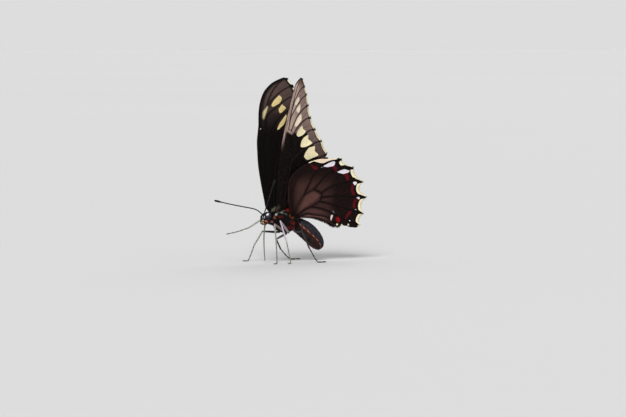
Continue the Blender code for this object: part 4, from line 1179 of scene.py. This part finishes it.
def coat_body(name, first, last, count, material, length, width, lift):
    """Tufts evenly over the skin between two stations, coloured by the place of their root.

    Length and lift are runs along the stations: a list of places and a list of values there.
    """
    tries = count * 4
    position = rng.uniform(first, last, tries)
    turn = rng.uniform(0, 2 * math.pi, tries)
    here = body_surface(position, turn)
    back = body_surface(position + 0.02, turn) - here
    around = body_surface(position, turn + 0.02) - here
    normal = np.cross(back, around)
    area = np.linalg.norm(normal, axis=1)
    normal /= area[:, None]
    outward = here - body_section(position)[0]
    normal *= np.sign(np.einsum("ij,ij->i", normal, outward))[:, None]
    for _, sign in BOTH_SIDES:  # none grows on an eye
        from_eye = (here - EYE_CENTRE * (sign, 1, 1)) / (EYE_HALF_SIZE + EYE_MARGIN)
        area[np.linalg.norm(from_eye, axis=1) < 1] = 0
    chosen = rng.choice(tries, count, replace=False, p=area / area.sum())
    position, turn, here, back, normal = (v[chosen] for v in (position, turn, here, back, normal))
    lie = laid_flat(unit(back) + rng.normal(0, LIE_SPREAD, (count, 3)) + LIE_SAG, normal)
    colours = body_pigment(position, turn)
    pale = colours.sum(axis=1) > PALE_SUM
    lengths = np.interp(position, *length) * rng.uniform(*LENGTH_SPREAD, count) * np.where(pale, 0.5, 1.0)
    by_eye = from_nearest(here, [EYE_CENTRE * (sign, 1, 1) for _, sign in BOTH_SIDES]) - EYE_HALF_SIZE[1]
    lengths *= 0.45 + 0.55 * smooth(0.1, 1.3, by_eye)
    overlaps = (outside_marks(here + lie * lengths[:, None]) < 0.1) & (outside_marks(here) > 0)
    lengths *= np.where(overlaps, 0.4, 1.0)  # dark hair must not lie over a patch
    widths = width * rng.uniform(*WIDTH_SPREAD, count)
    lifts = share(rng.normal(np.interp(position, *lift), 0.1))
    colours = colours * rng.uniform(*SHADE_SPREAD, count)[:, None]
    unwrap = np.column_stack([position / LAST, turn / (2 * math.pi)])
    add_coat(name, "flesh", material, here, lie, normal, lengths, widths, lifts, colours, unwrap)


coat_body("coat_head", 0.15, NECK, 3200, body_hair,
          ([0, 2, 3.8, 5], [0.32, 0.45, 0.7, 1.2]), 0.035, ([0, 3.8, 5], [0.42, 0.45, 0.62]))
coat_body("coat_thorax", NECK, WAIST + 0.3, 11500, body_hair,
          ([5, 6.5, 9.5, 11.3], [1.25, 1.35, 1.4, 0.9]), 0.045, ([5, 6.0, 7.0], [0.62, 0.5, 0.32]))
coat_body("coat_abdomen", WAIST + 0.1, LAST, 9000, abdomen_scales, ([0], [0.42]), 0.06, ([0], [0.10]))

# %% [markdown]
# A fringe of long narrow scales stands along the edge of each wing, cream in the bays and black at
# the teeth, and fine brown hair along the inner edge of the hindwing. It takes the hardness
# from the cut edge of the plate. The tufts stand on both faces and point out of the wing.

# %% Fringes of the wings
def add_fringe(name, slot, sign, hinge, height, line, teeth, count, lengths, pale, dark):
    """Tufts along an edge of a wing: pale between the teeth and dark at them."""
    line = spaced(line, 500)[0]
    run = unit(np.gradient(line, axis=0))
    pick = np.sort(rng.integers(0, len(line), count))
    out = np.column_stack([-run[:, 1], run[:, 0]])[pick]
    places = line[pick] - out * 0.12 + rng.normal(0, 0.03, (count, 2))
    middle, back, up, normal = wing_frame(places, hinge, height)
    lie = back * out[:, :1] + up * out[:, 1:] + rng.normal(0, 0.10, (count, 3))
    normal *= rng.choice([-1.0, 1.0], count)[:, None]
    lie = laid_flat(lie, normal)
    colours = blend(plain(dark, count), smooth(0.5, 0.75, from_nearest(places, teeth)), pale)
    colours *= rng.uniform(0.85, 1.1, count)[:, None]
    mirror = (sign, 1, 1)
    add_coat(name, slot, wing_hair, middle * mirror, lie * mirror, normal * mirror,
             rng.uniform(*lengths, count), np.full(count, 0.04), rng.uniform(0, 0.1, count), colours,
             (places + 10) / 70)


wing_hair = coat_material("wing_fringe_scales", Roughness=0.7, Specular_IOR_Level=0.1)
CREAM, BLACK, BROWN = "#FFFAE2", "#0F0A0A", "#3A2824"
INNER_EDGE = curve_through([HIND_TAIL[-1], *HIND_INNER], 10)
INNER_END = (20.0, -6.0)  # where that hair is black
for side, sign in BOTH_SIDES:
    add_fringe(f"fringe_forewing_{side}", "forewing", sign, FORE_HINGE, fore_height, fore_margin, FORE_TEETH,
               1500, (0.28, 0.42), CREAM, "#120C0B")
    add_fringe(f"fringe_hindwing_{side}", "hindwing", sign, HIND_HINGE, hind_height, hind_margin, DARK_TEETH,
               1500, (0.30, 0.45), CREAM, BLACK)
    add_fringe(f"hair_hindwing_{side}", "hindwing", sign, HIND_HINGE, hind_height, INNER_EDGE, [INNER_END],
               900, (0.45, 0.8), BROWN, BLACK)

# %% [markdown]
# A butterfly's compound eye is a dome of thousands of lenses, a dark and glossy bead. The pale place
# high on its front, and the lilac-grey that fades out from it, is the sky in it: a painted
# reflection and highlight, because the lamp's own highlight has another shape. The lenses are drawn
# as a fine bump of 0.06 mm, about twice their real size.

# %% Eyes
eye_glaze, tree, shader = pigmented(
    "eye_cuticle", Roughness=0.35, Specular_IOR_Level=0.15,
    Coat_Weight=0.5, Coat_Roughness=0.08, Coat_IOR=1.5)
lenses = add_node(tree, "ShaderNodeTexVoronoi", {"Scale": 16000.0, "Randomness": 0.2}, feature="SMOOTH_F1")
lens_bump = add_node(tree, "ShaderNodeBump", {
    "Height": lenses.outputs["Distance"], "Strength": 0.12, "Distance": 0.00002}, invert=True)
tree.links.new(lens_bump.outputs["Normal"], shader.inputs["Normal"])
EYE_SKY = np.array((0.42, -0.60, 0.68))  # the way from the eye's middle to the pale place


def ellipsoid(centre, half_size, rows=36, sides=56):
    """Points and faces of an ellipsoid, in rings along X."""
    rings = []
    for row in range(1, rows):
        along = math.pi * row / rows
        turn = np.linspace(0, 2 * math.pi, sides, endpoint=False)
        ring = np.column_stack([np.full(sides, math.cos(along)), np.cos(turn) * math.sin(along),
                                np.sin(turn) * math.sin(along)])
        rings.append(centre + ring * half_size)
    reach = np.array((half_size[0], 0, 0))
    points, faces = capped_tube(rings, centre + reach, centre - reach)
    return points, [tuple(reversed(face)) for face in faces]


for side, sign in BOTH_SIDES:
    centre = EYE_CENTRE * (sign, 1, 1)
    points, faces = ellipsoid(centre, EYE_HALF_SIZE)
    eye = add_mesh(f"dressed_eye_{side}", points, faces, [eye_glaze])
    facing = (points - centre) / EYE_HALF_SIZE @ (EYE_SKY * (sign, 1, 1))
    # painted reflection: black below, paling to lilac-grey towards EYE_SKY, with a painted highlight at the
    # top
    shades = blend(plain("#040304", len(points)), smooth(0.2, 0.95, facing), "#3A3646")
    paint(eye, "pigment", blend(shades, smooth(0.80, 0.97, facing), "#E4E0F0"))
    dress(eye, "eye", f"eye_{side}")

# %% [markdown]
# Legs, feelers, palps and the tongue are all round rods along a curve. One helper turns a path and
# its radii into rings, and another collects several such rods into one piece.

# %% Rods along a curve
END_OUT, END_WIDTH = 0.75, 0.66  # where the last ring of a rounded end is, and its width, in radii


def rod(path, radii, sides=14, start=0):
    """Points and faces of a round limb with rounded ends."""
    path = np.asarray(path, float)
    radii = np.asarray(radii, float)
    ahead = unit(np.gradient(path, axis=0))
    side = np.cross(ahead[0], (0.3, 0.5, 0.8))
    turn = np.linspace(0, 2 * math.pi, sides, endpoint=False)
    rings = []
    for i, way in [(0, -1), *((i, 0) for i in range(len(path))), (len(path) - 1, 1)]:
        side = unit(side - ahead[i] * (side @ ahead[i]))
        other = np.cross(ahead[i], side)
        radius = radii[i] * (END_WIDTH if way else 1)
        centre = path[i] + ahead[i] * way * END_OUT * radii[i]
        rings.append(centre + radius * (np.cos(turn)[:, None] * side + np.sin(turn)[:, None] * other))
    front = path[0] - ahead[0] * radii[0]
    back = path[-1] + ahead[-1] * radii[-1]
    return capped_tube(rings, front, back, start)


def add_rods(name, rods, material, colours):
    """One piece from several (path, radii, sides) rods, with a colour for each."""
    every_point, every_face, shades, count = [], [], [], 0
    for i, (path, radii, sides) in enumerate(rods):
        points, faces = rod(path, radii, sides, count)
        every_point.append(points)
        every_face += faces
        count += len(points)
        shades.append(plain(colours[i], len(points)))
    made = add_mesh(name, np.vstack(every_point), [tuple(reversed(f)) for f in every_face], [material])
    paint(made, "pigment", np.vstack(shades))
    return made


# %% [markdown]
# The feelers end in a club, the mark of a butterfly, and their shafts have some forty ring joints.
# Each ring here swells a little at its far end, which breaks the highlight into a dotted line.

# %% Antennae
horn = pigmented("feeler_cuticle", Roughness=0.6, Specular_IOR_Level=0.2)[0]
ANTENNA_BASE = np.array((0.55, -8.75, 17.75))
ANTENNA_REACH = {
    "left": [(2.6, -0.6, 2.7), (6.6, -1.6, 6.2), (10.5, -2.6, 9.9), (14.2, -3.3, 13.5)],
    "right": [(-1.65, -2.0, 1.9), (-4.5, -5.5, 2.85), (-7.7, -9.45, 3.8), (-11.4, -14.0, 5.1)],
}
SHAFT_RADIUS, CLUB_RADIUS, CLUB_LENGTH = 0.21, 0.40, 3.2
JOINT_LENGTH, JOINT_SWELL = 0.42, 0.07  # the swell as a part of the radius
for side, sign in BOTH_SIDES:
    base = ANTENNA_BASE * (sign, 1, 1)
    inner = base + (-0.1 * sign, 0.5, -0.9)
    curve = curve_through([inner, base, *(base + reach for reach in ANTENNA_REACH[side])], 12)
    path, done = spaced(curve, 220)
    club = smooth(-CLUB_LENGTH, -CLUB_LENGTH * 0.4, done - done[-1])
    radii = SHAFT_RADIUS + (CLUB_RADIUS - SHAFT_RADIUS) * club
    radii *= 1 + JOINT_SWELL * ((done / JOINT_LENGTH) % 1 - 0.5) * 2
    radii[-5:] *= (0.95, 0.88, 0.76, 0.58, 0.35)
    socket = ([base + (0, 0.3, -0.4), base + (0, 0.1, 0.0)], [0.36, 0.33], 16)
    feeler = add_rods(f"dressed_antenna_{side}", [(path, radii, 14), socket], horn, ["#0E0A09"] * 2)
    dress(feeler, "antenna", f"antenna_{side}")

# %% [markdown]
# The tongue is a hose of two half pipes. Coiled at rest, it is let down here between the front legs,
# as it is when the animal feeds. Fine rings let it bend.

# %% Proboscis
tongue = pigmented("proboscis_cuticle", Roughness=0.4)[0]
RING_LENGTH, RING_SWELL = 0.22, 0.05
HALF_APART = 0.06  # of the two pipes
PROBOSCIS_PATH = [(0, -7.9, 14.6), (0, -8.3, 12.4), (0, -8.5, 9.0), (0, -8.4, 5.0), (0, -8.1, 0.9)]
curve, done = spaced(curve_through(PROBOSCIS_PATH, 12), 260)
radii = np.interp(done / done[-1], [0, 0.2, 1], [0.26, 0.22, 0.17])
radii *= 1 + RING_SWELL * np.sin(done * 2 * math.pi / RING_LENGTH)
pipes = [(curve + (x, 0, 0), radii, 12) for x in (HALF_APART, -HALF_APART)]
hose = add_rods("dressed_proboscis", pipes, tongue, ["#6A6C60"] * 2)
dress(hose, "proboscis", "proboscis")

# %% [markdown]
# The palps hug the face on each side of the tongue. Their brush of scales is dark, and pale or
# salmon on the outer face.

# %% Palps
PALP_PATH = [(0.62, -7.6, 14.6), (0.76, -8.4, 14.3), (0.84, -9.1, 14.6), (0.80, -9.5, 15.3)]
PALP_STEPS, PALP_TUFTS = 30, 520
for side, sign in BOTH_SIDES:
    path, done = spaced(curve_through(np.array(PALP_PATH) * (sign, 1, 1), 10), PALP_STEPS)
    radii = np.interp(done / done[-1], [0, 0.15, 0.8, 1], [0.30, 0.36, 0.28, 0.14])
    palp = add_rods(f"dressed_palp_{side}", [(path, radii, 16)], body_skin, ["#2A1614"])
    dress(palp, "palp", f"palp_{side}")
    count = PALP_TUFTS
    place = rng.uniform(0, 1, count)
    turn = rng.uniform(0, 2 * math.pi, count)
    step = place * (PALP_STEPS - 1)
    index = np.minimum(step.astype(int), PALP_STEPS - 2)
    ahead = unit(path[index + 1] - path[index])
    across = unit(np.cross(ahead, (sign, 0.2, 0.1)))
    other = np.cross(ahead, across)
    normal = across * np.cos(turn)[:, None] + other * np.sin(turn)[:, None]
    roots = path[index] + ahead * (step - index)[:, None] * 0.08 + normal * (radii[index] * 0.9)[:, None]
    outer = (np.abs(normal[:, 0]) > 0.6) & (place > 0.3) & (place < 0.92)
    shade = np.where(outer[:, None], rgb("#F0D9B4"), rgb("#1E1312"))
    shade = np.where((outer & (place < 0.6))[:, None], rgb("#C8664C"), shade)
    shade = shade * rng.uniform(0.8, 1.2, count)[:, None]
    unwrap = np.column_stack([place, turn / (2 * math.pi)])
    add_coat(f"coat_palp_{side}", "palp", body_hair, roots, ahead, normal, rng.uniform(0.22, 0.38, count),
             np.full(count, 0.03), rng.uniform(0.1, 0.3, count), shade, unwrap)

# %% [markdown]
# Each leg is a chain: coxa, femur, tibia, a foot of five short joints, and two claws. The joints
# are slim waists between swollen ends, and rows of small spines stand along the tibia and the foot.
# The right front leg is lifted and feels ahead.

# %% Legs
leg_cuticle = pigmented("leg_cuticle", Roughness=0.45, Specular_IOR_Level=0.4)[0]
LEGS = {  # hip, knee, ankle, and where the foot bends and ends
    "fore_left": [
        (2.4, -1.7, 11.9), (6.0, -7.3, 14.5), (7.6, -7.5, 7.2), (8.6, -7.9, 0.35), (9.0, -9.4, 0.2)],
    "mid_left": [
        (2.6, 0.4, 11.1), (5.6, -4.7, 15.6), (7.8, -3.3, 8.0), (9.8, -2.7, 0.35), (10.6, -4.2, 0.2)],
    "hind_left": [
        (2.5, 3.3, 11.3), (8.4, 2.8, 11.9), (9.4, 5.4, 5.5), (9.6, 8.9, 0.35), (9.3, 12.6, 0.2)],
    "fore_right": [
        (-1.9, -4.4, 14.1), (-4.6, -7.4, 15.5), (-6.1, -11.6, 12.7), (-7.2, -15.6, 11.4),
        (-8.2, -19.7, 10.5)],
    "mid_right": [
        (-2.5, -0.7, 11.0), (-6.5, -5.5, 11.2), (-8.6, -7.7, 6.3), (-9.9, -9.7, 0.35), (-10.4, -11.6, 0.2)],
    "hind_right": [
        (-2.5, 2.3, 10.3), (-7.4, 0.9, 8.1), (-9.0, 3.6, 4.2), (-9.9, 8.2, 0.35), (-10.0, 12.6, 0.2)],
}
# Partly the legs' own colour, pale-scaled on their outer side; the pale tibiae and the lilac-white middle
# left leg also carry painted highlights, and the black femora of the far front and middle legs carry painted
# shade.
LEG_COLOURS_AND_PAINTED_LIGHT = {  # femur, tibia, foot
    "fore_left": ("#8E7476", "#8A8C84", "#6F6D68"), "mid_left": ("#A08E94", "#B8AEBA", "#7A7670"),
    "hind_left": ("#1A1514", "#2A2624", "#1C1817"), "fore_right": ("#17110F", "#96988C", "#6F6D68"),
    "mid_right": ("#17110F", "#96988E", "#6F6D68"), "hind_right": ("#4A4644", "#4A4845", "#3A3734"),
}
COXA_ROOTS = {"fore": (1.0, -2.4, 14.2), "mid": (1.0, 0.2, 13.6), "hind": (1.0, 2.4, 13.6)}
FEMUR_STEPS, TIBIA_STEPS, TARSUS_STEPS = 24, 26, 10
FEMUR_RADII = ([0, 2, 8, 18, 21, 23], [0.26, 0.38, 0.44, 0.37, 0.27, 0.29])  # at these steps
TIBIA_RADII = ([0, 1, 3, 18, 25], [0.23, 0.31, 0.28, 0.28, 0.30])
TARSUS_RADII = ([0, 1, 8, 9], [0.14, 0.19, 0.25, 0.18])  # of each of its joints
TARSUS_JOINTS = 5
COXA_COLOUR, CLAW_COLOUR = "#1C1413", "#1A1210"
SPINE_RADII = [0.035, 0.035 * 0.7, 0.035 * 0.2]  # at its root, its middle and its tip


def spines(path, radii, count, length, spread):
    """Short stiff spines along a limb, pointing to its far end."""
    found = []
    for place in np.linspace(0.12, 0.97, count):
        at = place * (len(path) - 1)
        i = min(int(at), len(path) - 2)
        centre = path[i] + (path[i + 1] - path[i]) * (at - i)
        ahead = unit(path[i + 1] - path[i])
        out = unit(np.cross(ahead, rng.normal(0, 1, 3)))
        start = centre + out * radii[i] * 0.8
        end = start + (ahead + out * spread) * length * rng.uniform(0.8, 1.2)
        found.append(([start, (start + end) / 2, end], SPINE_RADII, 5))
    return found


for leg, (hip, knee, ankle, bend, toe) in LEGS.items():
    pair, side = leg.split("_")
    hip, knee, ankle, bend, toe = (np.array(point) for point in (hip, knee, ankle, bend, toe))
    root = np.array(COXA_ROOTS[pair]) * (1 if side == "left" else -1, 1, 1)
    coxa = spaced(np.array([root, root * 0.4 + hip * 0.6, hip]), 12)[0]
    femur = spaced(np.array([hip, knee]), FEMUR_STEPS)[0]
    tibia = spaced(np.array([knee, ankle]), TIBIA_STEPS)[0]
    tibia_radii = np.interp(np.arange(TIBIA_STEPS), *TIBIA_RADII)
    foot = spaced(curve_through([ankle, bend, toe], 16), TARSUS_STEPS * TARSUS_JOINTS + 1)[0]
    rods = [
        (coxa, np.linspace(0.72, 0.42, 12), 18),
        (femur, np.interp(np.arange(FEMUR_STEPS), *FEMUR_RADII), 16),
        (tibia, tibia_radii, 14),
    ]
    for joint in range(TARSUS_JOINTS):
        part = foot[joint * TARSUS_STEPS : (joint + 1) * TARSUS_STEPS]
        rods.append((part, np.interp(np.arange(TARSUS_STEPS), *TARSUS_RADII), 12))
    femur_colour, tibia_colour, foot_colour = LEG_COLOURS_AND_PAINTED_LIGHT[leg]
    colours = [COXA_COLOUR, femur_colour, tibia_colour, *[foot_colour] * TARSUS_JOINTS]
    claw_way = unit(foot[-1] - foot[-4])
    across = unit(np.cross(claw_way, (0, 0, 1)))
    for way in (1, -1):
        start = foot[-1] - claw_way * 0.1
        claw = [start, start + claw_way * 0.22 + across * way * 0.13 + (0, 0, 0.05),
                start + claw_way * 0.40 + across * way * 0.17 - (0, 0, 0.06)]
        rods.append((curve_through(claw, 4), np.linspace(0.07, 0.015, 9), 6))
    rods += spines(tibia, tibia_radii, 26, 0.42, 0.5)
    rods += spines(foot, np.full(len(foot), 0.18), 30, 0.26, 0.6)
    colours += [CLAW_COLOUR] * (len(rods) - len(colours))
    for i, (path, radii, sides) in enumerate(rods):
        path = np.array(path, float)
        path[:, 2] = np.maximum(path[:, 2], np.max(radii) * 0.9)  # nothing goes under the floor
        rods[i] = (path, radii, sides)
    piece = add_rods(f"dressed_leg_{leg}", rods, leg_cuticle, colours)
    dress(piece, "leg", f"femur_{leg}", f"tibia_{leg}", f"tarsus_{leg}")
